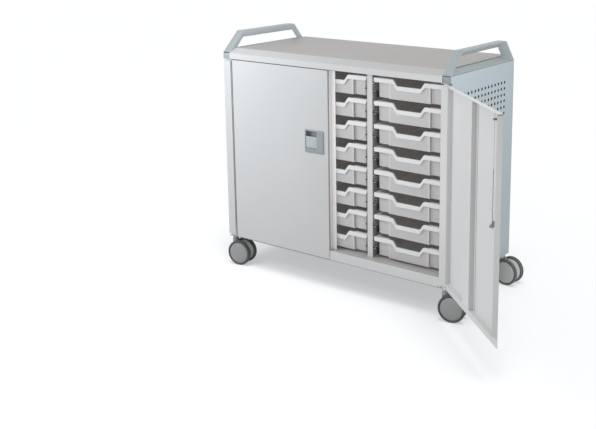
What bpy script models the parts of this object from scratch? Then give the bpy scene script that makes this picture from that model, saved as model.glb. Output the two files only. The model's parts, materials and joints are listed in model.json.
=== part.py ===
"""Mobile tray storage cabinet: sheet steel carcass, two doors, sliding trays and twin wheel casters.

Metres, +Z up, front faces -Y. The pieces are built in the cabinet's own frame (mid width, front door
plane, floor) and the whole assembly is then shifted so that its box stands on the origin.
"""
import math

import bmesh
import bpy
from mathutils import Vector

# Sizes of the tray, the standard piece that everything else is built around
TRAY_WIDTH = 0.312
TRAY_DEPTH = 0.427
TRAY_HEIGHT = 0.0775
TRAY_WALL = 0.0025
TRAY_TAPER = 0.002
TRAY_RIM = 0.016
TRAY_FRONT_RIM = 0.006
TRAY_FRONT_LIP = 0.017
TRAY_SIDE_LIP = 0.006
TRAY_CORNER = 0.008
TRAY_DIP_DEPTH = 0.027
TRAY_DIP_OUTER = 0.070
TRAY_DIP_INNER = 0.052
TRAY_PANEL_HALF = 0.0915
TRAY_PANEL_STEP = 0.010
TRAY_PITCH = 0.090
TRAY_ROWS = 8

# Clearances
PIECE_GAP = 0.0003
BAY_CLEARANCE = 0.006
TRAY_SETBACK = 0.036
TRAY_BACK_GAP = 0.030
TRAY_FLOOR_GAP = 0.0095
TRAY_TOP_GAP = 0.016

# Fineness of the modelling
ROUND_SIDES = 12
MERGE = 0.0001
RUN_PAST = 0.02

# Sheet metal
SHEET = 0.0012
PLATE = 0.002
DIVIDER_THICKNESS = 0.024
DIVIDER_SETBACK = 0.035
SIDE_THICKNESS = 0.038
SIDE_LIP = 0.014
RAIL_WIDTH = 0.015
RAIL_HEIGHT = 0.010
RAIL_START = 0.004
RAIL_END = 0.040
BASE_DROP = 0.003
BASE_HEIGHT = 0.039
BASE_SETBACK = 0.0027

# Worktop and handles
WORKTOP_FRONT = 0.024
WORKTOP_BEVEL_RISE = 0.019
WORKTOP_BEVEL_RUN = 0.037
WORKTOP_RETURN = 0.050
HANDLE_WIDTH = 0.0335
HANDLE_RISE = 0.065
HANDLE_BAR = 0.026
HANDLE_EDGE = 0.002
HANDLE_BEND = 0.012
BEND_STEPS = 3
HANDLE_LEAN_FRONT = 0.086
HANDLE_LEAN_REAR = 0.069
HANDLE_LEG = 0.048

# Perforated end panels
HOLE_RADIUS = 0.0045
HOLE_SIDES = 6
HOLE_COLUMNS = 14
HOLE_ROWS = 6
HOLE_COLUMN_PITCH = 0.026
HOLE_ROW_PITCH = 0.0245
HOLE_TOP_MARGIN = 0.0535

# Doors
DOOR_DEPTH = 0.0195
DOOR_SIDE_GAP = 0.004
DOOR_MEET_GAP = 0.003
DOOR_TOP_GAP = 0.0034
DOOR_BOTTOM_RISE = 0.006
DOOR_HINGE_LIP = 0.043
DOOR_BOTTOM_LIP = 0.042
STIFFENER_WIDTH = 0.067
STIFFENER_FOOT = 0.014
ASTRAGAL_WIDTH = 0.012
ASTRAGAL_GAP = 0.007
RIGHT_DOOR_OPEN = math.radians(139.5)

# Door pivots
HINGE_SETBACK = 0.003
PIN_RADIUS = 0.0025
EYE_RADIUS = 0.0055
ARM_THICKNESS = 0.004
NOTCH_DEPTH = 0.013

# Paddle latch of the left door
LATCH_WIDTH = 0.095
LATCH_HEIGHT = 0.094
LATCH_BASE = 0.556
LATCH_EDGE = 0.0215
LATCH_PROUD = 0.004
LATCH_CUP_DEPTH = 0.018
LATCH_CUP_WALL = 0.002
LATCH_MARGIN = 0.006
LATCH_FLAT = 0.034
PADDLE_HEIGHT = 0.049
PADDLE_THICKNESS = 0.004
PADDLE_GAP = 0.0006
PADDLE_PIN_RADIUS = 0.0015

# Rod lock of the right door
LOCK_EDGE = 0.045
LOCK_HEIGHT = 0.530
BARREL_RADIUS = 0.009
CAM_RADIUS = 0.012
CAM_THICKNESS = 0.003
CAM_STANDOFF = 0.003
ROD_WIDTH = 0.006
ROD_THICKNESS = 0.004
ROD_SLOT_GAP = 0.001
ROD_SLOT_LENGTH = 0.016

# Casters
WHEEL_RADIUS = 0.054
WHEEL_THICKNESS = 0.022
WHEEL_SPACING = 0.049
WHEEL_STEPS = 16
WHEEL_EDGE = 0.005
WHEEL_SHOULDER = 0.011
WHEEL_TOP_GAP = 0.014
CASTER_TRAIL = 0.032
CASTER_INSET = 0.020
STEM_RADIUS = 0.012
HORN_THICKNESS = 0.014
HORN_WAIST = 0.078
HORN_FOOT_HALF = 0.009
HORN_NOSE = 0.0115
AXLE_RADIUS = 0.0045
AXLE_PLAY = 0.0005
CASTER_TURNS = {
    "front_left": math.radians(9.0),
    "front_right": math.radians(12.0),
    "rear_left": math.radians(4.0),
    "rear_right": math.radians(-6.0),
}

# Sizes that follow from the ones above
BAY_WIDTH = TRAY_WIDTH + 2 * BAY_CLEARANCE
COLUMN_PITCH = BAY_WIDTH + DIVIDER_THICKNESS
INNER_HALF = 1.5 * BAY_WIDTH + DIVIDER_THICKNESS
OUTER_HALF = INNER_HALF + SIDE_THICKNESS
BODY_DEPTH = TRAY_SETBACK + TRAY_DEPTH + TRAY_BACK_GAP
BODY_BOTTOM = 2 * WHEEL_RADIUS + WHEEL_TOP_GAP
BASE_BOTTOM = BODY_BOTTOM + BASE_DROP
BASE_TOP = BASE_BOTTOM + BASE_HEIGHT
FIRST_TRAY = BASE_TOP + TRAY_FLOOR_GAP
WORKTOP_BOTTOM = FIRST_TRAY + (TRAY_ROWS - 1) * TRAY_PITCH + TRAY_HEIGHT + TRAY_TOP_GAP
SHOULDER = WORKTOP_BOTTOM + WORKTOP_FRONT
WORKTOP_TOP = SHOULDER + WORKTOP_BEVEL_RISE
CROWN = WORKTOP_TOP + HANDLE_RISE
SIDE_TOP = WORKTOP_BOTTOM - PIECE_GAP
DOOR_TOP = WORKTOP_BOTTOM - DOOR_TOP_GAP
DOOR_BOTTOM = BODY_BOTTOM + DOOR_BOTTOM_RISE
DOOR_HINGE_EDGE = INNER_HALF - DOOR_SIDE_GAP
DOOR_FREE_EDGE = DOOR_MEET_GAP / 2
PAN_HINGE_EDGE = DOOR_HINGE_EDGE - DOOR_HINGE_LIP
PAN_BOTTOM = DOOR_BOTTOM + DOOR_BOTTOM_LIP
HINGE_X = INNER_HALF + SIDE_THICKNESS / 2
LOW_NOTCH = (BODY_BOTTOM + PLATE, DOOR_BOTTOM + ARM_THICKNESS + 2 * PIECE_GAP)
HIGH_NOTCH = (DOOR_TOP - ARM_THICKNESS - 2 * PIECE_GAP, SIDE_TOP - PLATE)
LOCK_X = DOOR_FREE_EDGE + LOCK_EDGE
ROD_FACE = SHEET + CAM_STANDOFF + CAM_THICKNESS + PIECE_GAP
SIDES = {"left": -1, "right": 1}
COLUMNS = {"left": -COLUMN_PITCH, "middle": 0.0, "right": COLUMN_PITCH}

for old in list(bpy.data.objects):
    bpy.data.objects.remove(old, do_unlink=True)

parts = bpy.data.collections.new("mobile_storage_cabinet")
cutters = bpy.data.collections.new("cutters")
bpy.context.scene.collection.children.link(parts)
bpy.context.scene.collection.children.link(cutters)

MATERIALS = {}
for slot, colour, metallic, roughness in (
    ("carcass_paint", (0.72, 0.74, 0.74), 0.0, 0.45),
    ("end_paint", (0.46, 0.54, 0.58), 0.2, 0.45),
    ("handle_paint", (0.38, 0.44, 0.47), 0.2, 0.45),
    ("tray_plastic", (0.78, 0.80, 0.80), 0.0, 0.5),
    ("latch_plastic", (0.43, 0.50, 0.53), 0.0, 0.4),
    ("bright_steel", (0.60, 0.60, 0.60), 1.0, 0.35),
    ("caster_plastic", (0.22, 0.23, 0.23), 0.0, 0.5),
    ("wheel_plastic", (0.23, 0.24, 0.24), 0.0, 0.45),
):
    material = bpy.data.materials.new(slot)
    material.use_nodes = True
    shader = material.node_tree.nodes["Principled BSDF"]
    shader.inputs["Base Color"].default_value = (*colour, 1.0)
    shader.inputs["Metallic"].default_value = metallic
    shader.inputs["Roughness"].default_value = roughness
    MATERIALS[slot] = material


def add_object(name, mesh_data, slot=None, parent=None, origin=(0.0, 0.0, 0.0)):
    """Wrap mesh data, given in cabinet coordinates, as a part, or as a cutter when it has no slot."""
    origin = Vector(origin)
    bmesh.ops.recalc_face_normals(mesh_data, faces=mesh_data.faces)
    bmesh.ops.translate(mesh_data, verts=mesh_data.verts, vec=-origin)
    mesh = bpy.data.meshes.new(name)
    mesh_data.to_mesh(mesh)
    mesh_data.free()
    thing = bpy.data.objects.new(name, mesh)
    if slot is None:
        cutters.objects.link(thing)
        thing.hide_render = True
        thing.display_type = "WIRE"
    else:
        parts.objects.link(thing)
        mesh.materials.append(MATERIALS[slot])
    place(thing, parent, origin)
    return thing


def place(thing, parent, origin):
    """Set a piece at a point of the cabinet frame under its parent, before the parent is turned."""
    if parent is None:
        thing.location = origin
        return
    thing.parent = parent
    thing.location = Vector(origin) - Vector(parent["cabinet_point"])


def add_empty(name, point, parent=None):
    """A joint marker at a point of the cabinet frame."""
    marker = bpy.data.objects.new(name, None)
    marker.empty_display_size = 0.03
    parts.objects.link(marker)
    marker["cabinet_point"] = tuple(point)
    place(marker, parent, point)
    return marker


def add_box(data, low, high):
    """Add a box to mesh data, its corners in any order."""
    corners = [(min(pair), max(pair)) for pair in zip(low, high)]
    middle = Vector([(first + last) / 2 for first, last in corners])
    made = bmesh.ops.create_cube(data, size=1.0)
    spans = [last - first for first, last in corners]
    bmesh.ops.scale(data, verts=made["verts"], vec=spans)
    bmesh.ops.translate(data, verts=made["verts"], vec=middle)


def boxes(*pairs):
    """Mesh data that holds separate boxes."""
    data = bmesh.new()
    for low, high in pairs:
        add_box(data, low, high)
    return data


def add_prism(data, outline, axis, low, high):
    """Add a flat outline extruded along X, Y or Z."""
    rest = [index for index in range(3) if index != "XYZ".index(axis)]
    ring = []
    for first, second in outline:
        point = [low, low, low]
        point[rest[0]] = first
        point[rest[1]] = second
        ring.append(data.verts.new(point))
    face = data.faces.new(ring)
    grown = bmesh.ops.extrude_face_region(data, geom=[face])
    moved = [item for item in grown["geom"] if isinstance(item, bmesh.types.BMVert)]
    shift = [0.0, 0.0, 0.0]
    shift["XYZ".index(axis)] = high - low
    bmesh.ops.translate(data, verts=moved, vec=shift)


def prism(outline, axis, low, high):
    """Mesh data for one extruded outline."""
    data = bmesh.new()
    add_prism(data, outline, axis, low, high)
    return data


def round_outline(centre, radius, steps, turn=0.0):
    """A regular outline around a point."""
    angles = [turn + 2 * math.pi * step / steps for step in range(steps)]
    return [(centre[0] + radius * math.cos(a), centre[1] + radius * math.sin(a)) for a in angles]


def round_corner(before, corner, after):
    """Points of a bend between two straight runs of an outline."""
    corner = Vector(corner)
    start = (Vector(before) - corner).normalized()
    end = (Vector(after) - corner).normalized()
    half_angle = start.angle(end) / 2
    middle = corner + (start + end).normalized() * HANDLE_BEND / math.sin(half_angle)
    reach = HANDLE_BEND / math.tan(half_angle)
    first = corner + start * reach - middle
    last = corner + end * reach - middle
    sweep = first.angle(last)
    points = []
    for step in range(BEND_STEPS + 1):
        share = step / BEND_STEPS
        spoke = first * math.sin((1 - share) * sweep) + last * math.sin(share * sweep)
        points.append(tuple(middle + spoke / math.sin(sweep)))
    return points


def tapered(first_ring, first_x, second_ring, second_x):
    """Mesh data for a cut that widens along X and runs a little past both faces."""
    data = bmesh.new()
    loops = []
    for share in (-RUN_PAST, 1 + RUN_PAST):
        x = first_x + (second_x - first_x) * share
        ring = [Vector(near).lerp(Vector(far), share) for near, far in zip(first_ring, second_ring)]
        loops.append([data.verts.new((x, *point)) for point in ring])
    count = len(first_ring)
    for index in range(count):
        following = (index + 1) % count
        data.faces.new((loops[0][index], loops[0][following], loops[1][following], loops[1][index]))
    for loop in loops:
        data.faces.new(loop)
    return data


def combine(thing, data, operation, parent=None):
    """Join or cut a piece with more mesh data, given in cabinet coordinates."""
    tool = add_object(thing.name + "_" + operation.lower(), data, None, parent)
    step = thing.modifiers.new(operation.title(), "BOOLEAN")
    step.operation = operation
    step.solver = "EXACT"
    step.object = tool


def thicken(thing, thickness):
    """Give a folded sheet its thickness on the inner side."""
    step = thing.modifiers.new("Sheet", "SOLIDIFY")
    step.thickness = thickness
    step.offset = -1.0
    step.use_even_offset = True


root = add_empty("cabinet_frame", (0.0, 0.0, 0.0))


def tray_top(row):
    """Height of a tray's rim, row 0 lowest."""
    return FIRST_TRAY + row * TRAY_PITCH + TRAY_HEIGHT


def add_rails(data, wall, inward, depth_into_wall):
    """Add one tray rail per row on a wall that faces inward."""
    for row in range(TRAY_ROWS):
        top = tray_top(row) - TRAY_SIDE_LIP - PIECE_GAP
        add_box(
            data,
            (wall - inward * depth_into_wall, TRAY_SETBACK + TRAY_CORNER + RAIL_START, top - RAIL_HEIGHT),
            (wall + inward * RAIL_WIDTH, BODY_DEPTH - RAIL_END, top),
        )


# Sides: lipped channels that stand on their caster plates
def hinge_notches(side):
    """Room at the ends of a front strip for the door arms."""
    near = side * (INNER_HALF - SHEET)
    far = side * (OUTER_HALF + SHEET)
    return boxes(
        ((near, -SHEET, LOW_NOTCH[0]), (far, NOTCH_DEPTH, LOW_NOTCH[1])),
        ((near, -SHEET, HIGH_NOTCH[0]), (far, NOTCH_DEPTH, HIGH_NOTCH[1])),
    )


PANEL_INNER = OUTER_HALF - SHEET - PIECE_GAP
LIP_INNER = PANEL_INNER - SHEET
for side_name, side in SIDES.items():
    channel = [
        (INNER_HALF, 0.0),
        (OUTER_HALF, 0.0),
        (OUTER_HALF, SHEET),
        (PANEL_INNER, SHEET),
        (PANEL_INNER, SIDE_LIP),
        (LIP_INNER, SIDE_LIP),
        (LIP_INNER, SHEET),
        (INNER_HALF + SHEET, SHEET),
    ]
    channel += [(x, BODY_DEPTH - y) for x, y in reversed(channel)]
    shell = prism([(side * x, y) for x, y in channel], "Z", BODY_BOTTOM, SIDE_TOP)
    piece = add_object(side_name + "_side", shell, "carcass_paint", root)
    plates = bmesh.new()
    for low, high, back in (
        (BODY_BOTTOM, BODY_BOTTOM + PLATE, BODY_DEPTH),
        (SIDE_TOP - PLATE, SIDE_TOP, BODY_DEPTH),
        (LOW_NOTCH[1], LOW_NOTCH[1] + SHEET, 2 * NOTCH_DEPTH),
        (HIGH_NOTCH[0] - SHEET, HIGH_NOTCH[0], 2 * NOTCH_DEPTH),
    ):
        add_box(plates, (side * INNER_HALF, 0.0, low), (side * PANEL_INNER, back, high))
    combine(piece, plates, "UNION", root)
    rails = bmesh.new()
    add_rails(rails, side * INNER_HALF, -side, SHEET / 2)
    combine(piece, rails, "UNION", root)
    combine(piece, hinge_notches(side), "DIFFERENCE", root)

    # End panel: a perforated sheet let into the open side of the channel and folded over its top
    inner_x = side * (OUTER_HALF - HANDLE_WIDTH)
    outer_x = side * OUTER_HALF
    panel_ends = (SHEET + PIECE_GAP, BODY_DEPTH - SHEET - PIECE_GAP)
    folded_sheet = [
        (outer_x, BODY_BOTTOM),
        (outer_x, SHOULDER),
        (inner_x, SHOULDER),
        (inner_x, WORKTOP_BOTTOM),
        (inner_x + side * SHEET, WORKTOP_BOTTOM),
        (inner_x + side * SHEET, SHOULDER - SHEET),
        (outer_x - side * SHEET, SHOULDER - SHEET),
        (outer_x - side * SHEET, BODY_BOTTOM),
    ]
    panel = add_object(side_name + "_end_panel", prism(folded_sheet, "Y", *panel_ends), "end_paint", root)
    caps = bmesh.new()
    for cap in (panel_ends[0] + PIECE_GAP, panel_ends[1] - PIECE_GAP - SHEET):
        add_box(
            caps,
            (inner_x + side * SHEET / 2, cap, WORKTOP_BOTTOM),
            (outer_x - side * SHEET / 2, cap + SHEET, SHOULDER - SHEET / 2),
        )
    combine(panel, caps, "UNION", root)
    holes = bmesh.new()
    first_column = BODY_DEPTH / 2 - HOLE_COLUMN_PITCH * (HOLE_COLUMNS - 1) / 2
    for column in range(HOLE_COLUMNS):
        for row in range(HOLE_ROWS):
            centre = (
                first_column + column * HOLE_COLUMN_PITCH,
                WORKTOP_BOTTOM - HOLE_TOP_MARGIN - row * HOLE_ROW_PITCH,
            )
            outline = round_outline(centre, HOLE_RADIUS, HOLE_SIDES)
            add_prism(holes, outline, "X", outer_x - 2 * side * SHEET, outer_x + side * SHEET)
    combine(panel, holes, "DIFFERENCE", root)
    corners = boxes(
        (
            (outer_x - 2 * side * SHEET, 0.0, BODY_BOTTOM - SHEET),
            (outer_x + side * SHEET, NOTCH_DEPTH, LOW_NOTCH[1]),
        ),
        (
            (outer_x - 2 * side * SHEET, 0.0, HIGH_NOTCH[0]),
            (outer_x + side * SHEET, NOTCH_DEPTH, SIDE_TOP),
        ),
    )
    combine(panel, corners, "DIFFERENCE", root)

    # Handle: a leaning loop on the fold of the end panel, its opening widened to the outer side
    handle_front, handle_rear = panel_ends
    handle_foot = SHOULDER + PIECE_GAP
    front_top = (handle_front + HANDLE_LEAN_FRONT, CROWN)
    rear_top = (handle_rear - HANDLE_LEAN_REAR, CROWN)
    front_foot = (handle_front, handle_foot)
    rear_foot = (handle_rear, handle_foot)
    loop = [
        front_foot,
        rear_foot,
        *round_corner(rear_foot, rear_top, front_top),
        *round_corner(rear_top, front_top, front_foot),
    ]
    handle = add_object(side_name + "_handle", prism(loop, "X", inner_x, outer_x), "handle_paint", root)
    bar_low = CROWN - HANDLE_BAR
    lean = (bar_low - WORKTOP_TOP) / (CROWN - handle_foot)
    inner_hole = [
        (handle_front + HANDLE_LEG, WORKTOP_TOP),
        (handle_rear - HANDLE_LEG, WORKTOP_TOP),
        (handle_rear - HANDLE_LEG - lean * HANDLE_LEAN_REAR, bar_low),
        (handle_front + HANDLE_LEG + lean * HANDLE_LEAN_FRONT, bar_low),
    ]
    outer_hole = [
        (handle_front + 3 * HANDLE_EDGE, handle_foot + HANDLE_EDGE),
        (handle_rear - 3 * HANDLE_EDGE, handle_foot + HANDLE_EDGE),
        (rear_top[0] - HANDLE_EDGE, CROWN - HANDLE_EDGE),
        (front_top[0] + HANDLE_EDGE, CROWN - HANDLE_EDGE),
    ]
    combine(handle, tapered(inner_hole, inner_x, outer_hole, outer_x), "DIFFERENCE", root)

# Dividers: deep channels between the columns of trays
for side_name, side in SIDES.items():
    near = side * BAY_WIDTH / 2
    far = side * (BAY_WIDTH / 2 + DIVIDER_THICKNESS)
    back = BODY_DEPTH - SHEET - PIECE_GAP
    channel = [
        (near, DIVIDER_SETBACK),
        (far, DIVIDER_SETBACK),
        (far, back),
        (far - side * SHEET, back),
        (far - side * SHEET, DIVIDER_SETBACK + SHEET),
        (near + side * SHEET, DIVIDER_SETBACK + SHEET),
        (near + side * SHEET, back),
        (near, back),
    ]
    shell = prism(channel, "Z", BASE_TOP + PIECE_GAP, WORKTOP_BOTTOM - PIECE_GAP)
    piece = add_object(side_name + "_divider", shell, "carcass_paint", root)
    rails = bmesh.new()
    add_rails(rails, near, -side, SHEET / 2)
    add_rails(rails, far, side, SHEET / 2)
    combine(piece, rails, "UNION", root)

# Base pan: an upturned tray between the sides, notched for the door arms
base = boxes(
    (
        (PIECE_GAP - INNER_HALF, BASE_SETBACK, BASE_BOTTOM),
        (INNER_HALF - PIECE_GAP, BODY_DEPTH, BASE_TOP),
    )
)
underside = [face for face in base.faces if face.normal.z < -0.5]
bmesh.ops.delete(base, geom=underside, context="FACES")
base_pan = add_object("base_pan", base, "carcass_paint", root)
thicken(base_pan, SHEET)
base_cuts = boxes(
    *(
        (
            (side * (DOOR_HINGE_EDGE - EYE_RADIUS), 0.0, BASE_BOTTOM - SHEET),
            (side * (INNER_HALF + SHEET), NOTCH_DEPTH, LOW_NOTCH[1]),
        )
        for side in SIDES.values()
    )
)
combine(base_pan, base_cuts, "DIFFERENCE", root)

# Back panel
back_sheet = boxes(
    (
        (PIECE_GAP - INNER_HALF, BODY_DEPTH - SHEET, BASE_TOP + PIECE_GAP),
        (INNER_HALF - PIECE_GAP, BODY_DEPTH, WORKTOP_BOTTOM - PIECE_GAP),
    )
)
add_object("back_panel", back_sheet, "carcass_paint", root)

# Worktop: one folded sheet with a sloped front edge, between the two handles
worktop_half = OUTER_HALF - HANDLE_WIDTH - PIECE_GAP
fold = [
    (WORKTOP_RETURN, WORKTOP_BOTTOM),
    (0.0, WORKTOP_BOTTOM),
    (0.0, WORKTOP_BOTTOM + WORKTOP_FRONT),
    (WORKTOP_BEVEL_RUN, WORKTOP_TOP),
    (BODY_DEPTH, WORKTOP_TOP),
    (BODY_DEPTH, WORKTOP_BOTTOM),
    (BODY_DEPTH - WORKTOP_RETURN, WORKTOP_BOTTOM),
]
folded = bmesh.new()
rows = [[folded.verts.new((x, y, z)) for y, z in fold] for x in (-worktop_half, worktop_half)]
for first, second in zip(range(len(fold) - 1), range(1, len(fold))):
    folded.faces.new((rows[0][first], rows[1][first], rows[1][second], rows[0][second]))
worktop = add_object("worktop", folded, "carcass_paint", root)
thicken(worktop, SHEET)
top_slot = boxes(
    (
        (LOCK_X - ROD_SLOT_LENGTH / 2, ROD_FACE - ROD_SLOT_GAP, WORKTOP_BOTTOM - SHEET),
        (LOCK_X + ROD_SLOT_LENGTH / 2, ROD_FACE + ROD_THICKNESS + ROD_SLOT_GAP, WORKTOP_BOTTOM + 2 * SHEET),
    )
)
combine(worktop, top_slot, "DIFFERENCE", root)

# Hinge pins, captive in the notches of the front strips
for side_name, side in SIDES.items():
    for level, (low, high) in (("lower", LOW_NOTCH), ("upper", HIGH_NOTCH)):
        outline = round_outline((side * HINGE_X, HINGE_SETBACK), PIN_RADIUS, ROUND_SIDES)
        add_object(
            side_name + "_" + level + "_hinge_pin",
            prism(outline, "Z", low + PIECE_GAP, high - PIECE_GAP),
            "bright_steel",
            root,
        )

# Doors: a skin with a shallow pan behind it and an arm at each end that turns on its pin
door_joints = {}
for side_name, side in SIDES.items():
    joint = add_empty(side_name + "_door_joint", (side * HINGE_X, HINGE_SETBACK, 0.0), root)
    door_joints[side_name] = joint
    skin = boxes(
        (
            (side * DOOR_FREE_EDGE, 0.0, DOOR_BOTTOM),
            (side * DOOR_HINGE_EDGE, SHEET, DOOR_TOP),
        )
    )
    hinge_point = (side * HINGE_X, HINGE_SETBACK, 0.0)
    door = add_object(side_name + "_door", skin, "carcass_paint", joint, hinge_point)
    frame = boxes(
        (
            (side * DOOR_FREE_EDGE, 0.0, PAN_BOTTOM),
            (side * PAN_HINGE_EDGE, DOOR_DEPTH, DOOR_TOP),
        )
    )
    combine(door, frame, "UNION", joint)
    inside = boxes(
        (
            (side * (DOOR_FREE_EDGE + SHEET), SHEET, PAN_BOTTOM + SHEET),
            (side * (PAN_HINGE_EDGE - SHEET), 2 * DOOR_DEPTH, DOOR_TOP - SHEET),
        )
    )
    combine(door, inside, "DIFFERENCE", joint)
    arms = bmesh.new()
    low_arm = (LOW_NOTCH[0] + LOW_NOTCH[1] - ARM_THICKNESS) / 2
    high_arm = DOOR_TOP - ARM_THICKNESS
    for bottom in (max(low_arm, DOOR_BOTTOM), high_arm):
        eye = round_outline((side * HINGE_X, HINGE_SETBACK), EYE_RADIUS, ROUND_SIDES)
        reach = (side * (DOOR_HINGE_EDGE - EYE_RADIUS), 0.0)
        strap = [point for point in eye if (point[0] - side * HINGE_X) * side >= -MERGE]
        strap.sort(key=lambda point: point[1])
        outline = [reach, (side * (HINGE_X - EYE_RADIUS), 0.0), *strap]
        outline.append((reach[0], HINGE_SETBACK + EYE_RADIUS))
        add_prism(arms, outline, "Z", bottom, bottom + ARM_THICKNESS)
    combine(door, arms, "UNION", joint)
    eye_holes = bmesh.new()
    hole = round_outline((side * HINGE_X, HINGE_SETBACK), PIN_RADIUS + 2 * PIECE_GAP, ROUND_SIDES)
    for low, high in (LOW_NOTCH, HIGH_NOTCH):
        add_prism(eye_holes, hole, "Z", low, high)
    combine(door, eye_holes, "DIFFERENCE", joint)

    # Hat section stiffener down the middle of the pan
    middle = (DOOR_FREE_EDGE + DOOR_HINGE_EDGE) / 2
    crest = DOOR_DEPTH - PIECE_GAP
    foot = SHEET + PIECE_GAP
    half = STIFFENER_WIDTH / 2
    hat = [
        (-half - STIFFENER_FOOT, foot),
        (-half + SHEET, foot),
        (-half + SHEET, crest - SHEET),
        (half - SHEET, crest - SHEET),
        (half - SHEET, foot),
        (half + STIFFENER_FOOT, foot),
        (half + STIFFENER_FOOT, foot + SHEET),
        (half, foot + SHEET),
        (half, crest),
        (-half, crest),
        (-half, foot + SHEET),
        (-half - STIFFENER_FOOT, foot + SHEET),
    ]
    hat_ends = (PAN_BOTTOM + SHEET + PIECE_GAP, DOOR_TOP - SHEET - PIECE_GAP)
    add_object(
        side_name + "_door_stiffener",
        prism([(side * (middle + x), y) for x, y in hat], "Z", *hat_ends),
        "carcass_paint",
        joint,
    )

# Meeting strip on the left door, behind the edge of the right one
left_joint = door_joints["left"]
right_joint = door_joints["right"]
left_door = parts.objects["left_door"]
right_door = parts.objects["right_door"]
strip_face = DOOR_DEPTH + ASTRAGAL_GAP
strip_root = -DOOR_FREE_EDGE - SHEET
strip = prism(
    [
        (strip_root, SHEET / 2),
        (-DOOR_FREE_EDGE, SHEET / 2),
        (-DOOR_FREE_EDGE, strip_face),
        (ASTRAGAL_WIDTH - DOOR_FREE_EDGE, strip_face),
        (ASTRAGAL_WIDTH - DOOR_FREE_EDGE, strip_face + SHEET),
        (strip_root, strip_face + SHEET),
    ],
    "Z",
    PAN_BOTTOM,
    DOOR_TOP - SHEET,
)
combine(left_door, strip, "UNION", left_joint)

# Paddle latch of the left door: a square bezel with a cup behind it and a sprung flap
latch_right = -LATCH_EDGE
latch_left = latch_right - LATCH_WIDTH
latch_top = LATCH_BASE + LATCH_HEIGHT
mouth_left = latch_left + LATCH_MARGIN
mouth_right = latch_right - LATCH_FLAT
mouth_low = LATCH_BASE + 2 * LATCH_MARGIN
mouth_high = latch_top - LATCH_MARGIN
cup_back = SHEET + LATCH_CUP_DEPTH
bezel = boxes(
    ((latch_left, -PIECE_GAP - LATCH_PROUD, LATCH_BASE), (latch_right, -PIECE_GAP, latch_top))
)
housing = add_object("left_latch_housing", bezel, "latch_plastic", left_joint)
cup_low = (mouth_left - LATCH_CUP_WALL, -LATCH_PROUD, mouth_low - LATCH_CUP_WALL)
cup_high = (mouth_right + LATCH_CUP_WALL, cup_back, mouth_high + LATCH_CUP_WALL)
combine(housing, boxes((cup_low, cup_high)), "UNION", left_joint)
mouth = boxes(
    (
        (mouth_left, -2 * LATCH_PROUD, mouth_low),
        (mouth_right, cup_back - LATCH_CUP_WALL, mouth_high),
    )
)
combine(housing, mouth, "DIFFERENCE", left_joint)
paddle_axis_y = SHEET
paddle_axis_z = mouth_low + 2 * PADDLE_THICKNESS
pin_reach = LATCH_CUP_WALL + PADDLE_GAP
bore = prism(
    round_outline((paddle_axis_y, paddle_axis_z), PADDLE_PIN_RADIUS + PADDLE_GAP, ROUND_SIDES),
    "X",
    mouth_left - 2 * LATCH_CUP_WALL,
    mouth_right + 2 * LATCH_CUP_WALL,
)
combine(housing, bore, "DIFFERENCE", left_joint)
door_hole = boxes(
    (
        (cup_low[0] - PIECE_GAP, -SHEET, cup_low[2] - PIECE_GAP),
        (cup_high[0] + PIECE_GAP, 2 * SHEET, cup_high[2] + PIECE_GAP),
    )
)
combine(left_door, door_hole, "DIFFERENCE", left_joint)
paddle_point = ((mouth_left + mouth_right) / 2, paddle_axis_y, paddle_axis_z)
paddle_low = paddle_axis_z - PADDLE_THICKNESS / 2
flap = boxes(
    (
        (mouth_left + PADDLE_GAP, paddle_axis_y - PADDLE_THICKNESS, paddle_low),
        (mouth_right - PADDLE_GAP, paddle_axis_y, paddle_low + PADDLE_HEIGHT),
    )
)
paddle = add_object("left_latch_paddle", flap, "latch_plastic", left_joint, paddle_point)
knuckle = bmesh.new()
knuckle_outline = round_outline((paddle_axis_y, paddle_axis_z), PADDLE_THICKNESS / 2, ROUND_SIDES)
add_prism(knuckle, knuckle_outline, "X", mouth_left + PADDLE_GAP, mouth_right - PADDLE_GAP)
combine(paddle, knuckle, "UNION", left_joint)
pivot = prism(
    round_outline((paddle_axis_y, paddle_axis_z), PADDLE_PIN_RADIUS, ROUND_SIDES),
    "X",
    mouth_left - pin_reach + PADDLE_GAP,
    mouth_right + pin_reach - PADDLE_GAP,
)
combine(paddle, pivot, "UNION", left_joint)

# Rod lock of the right door: a barrel and cam that push a rod up into the worktop
lock_point = (LOCK_X, LOCK_HEIGHT)
door_cuts = prism(
    round_outline(lock_point, BARREL_RADIUS + 2 * PIECE_GAP, ROUND_SIDES), "Y", -SHEET, 2 * SHEET
)
add_box(
    door_cuts,
    (LOCK_X - ROD_WIDTH / 2 - PIECE_GAP, ROD_FACE - PIECE_GAP, DOOR_TOP - 2 * SHEET),
    (LOCK_X + ROD_WIDTH / 2 + PIECE_GAP, ROD_FACE + ROD_THICKNESS + PIECE_GAP, DOOR_TOP + SHEET),
)
combine(right_door, door_cuts, "DIFFERENCE", right_joint)
cam_face = SHEET + CAM_STANDOFF
cam = add_object(
    "lock_cam",
    prism(round_outline(lock_point, BARREL_RADIUS, ROUND_SIDES), "Y", -SHEET, cam_face + CAM_THICKNESS / 2),
    "bright_steel",
    right_joint,
    (LOCK_X, 0.0, LOCK_HEIGHT),
)
cam_plate = prism(
    round_outline(lock_point, CAM_RADIUS, ROUND_SIDES), "Y", cam_face, cam_face + CAM_THICKNESS
)
combine(cam, cam_plate, "UNION", right_joint)
rod = boxes(
    (
        (LOCK_X - ROD_WIDTH / 2, ROD_FACE, LOCK_HEIGHT - CAM_RADIUS),
        (LOCK_X + ROD_WIDTH / 2, ROD_FACE + ROD_THICKNESS, DOOR_TOP - PIECE_GAP),
    )
)
add_object("upper_lock_rod", rod, "bright_steel", right_joint, (LOCK_X, ROD_FACE, LOCK_HEIGHT))

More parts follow.
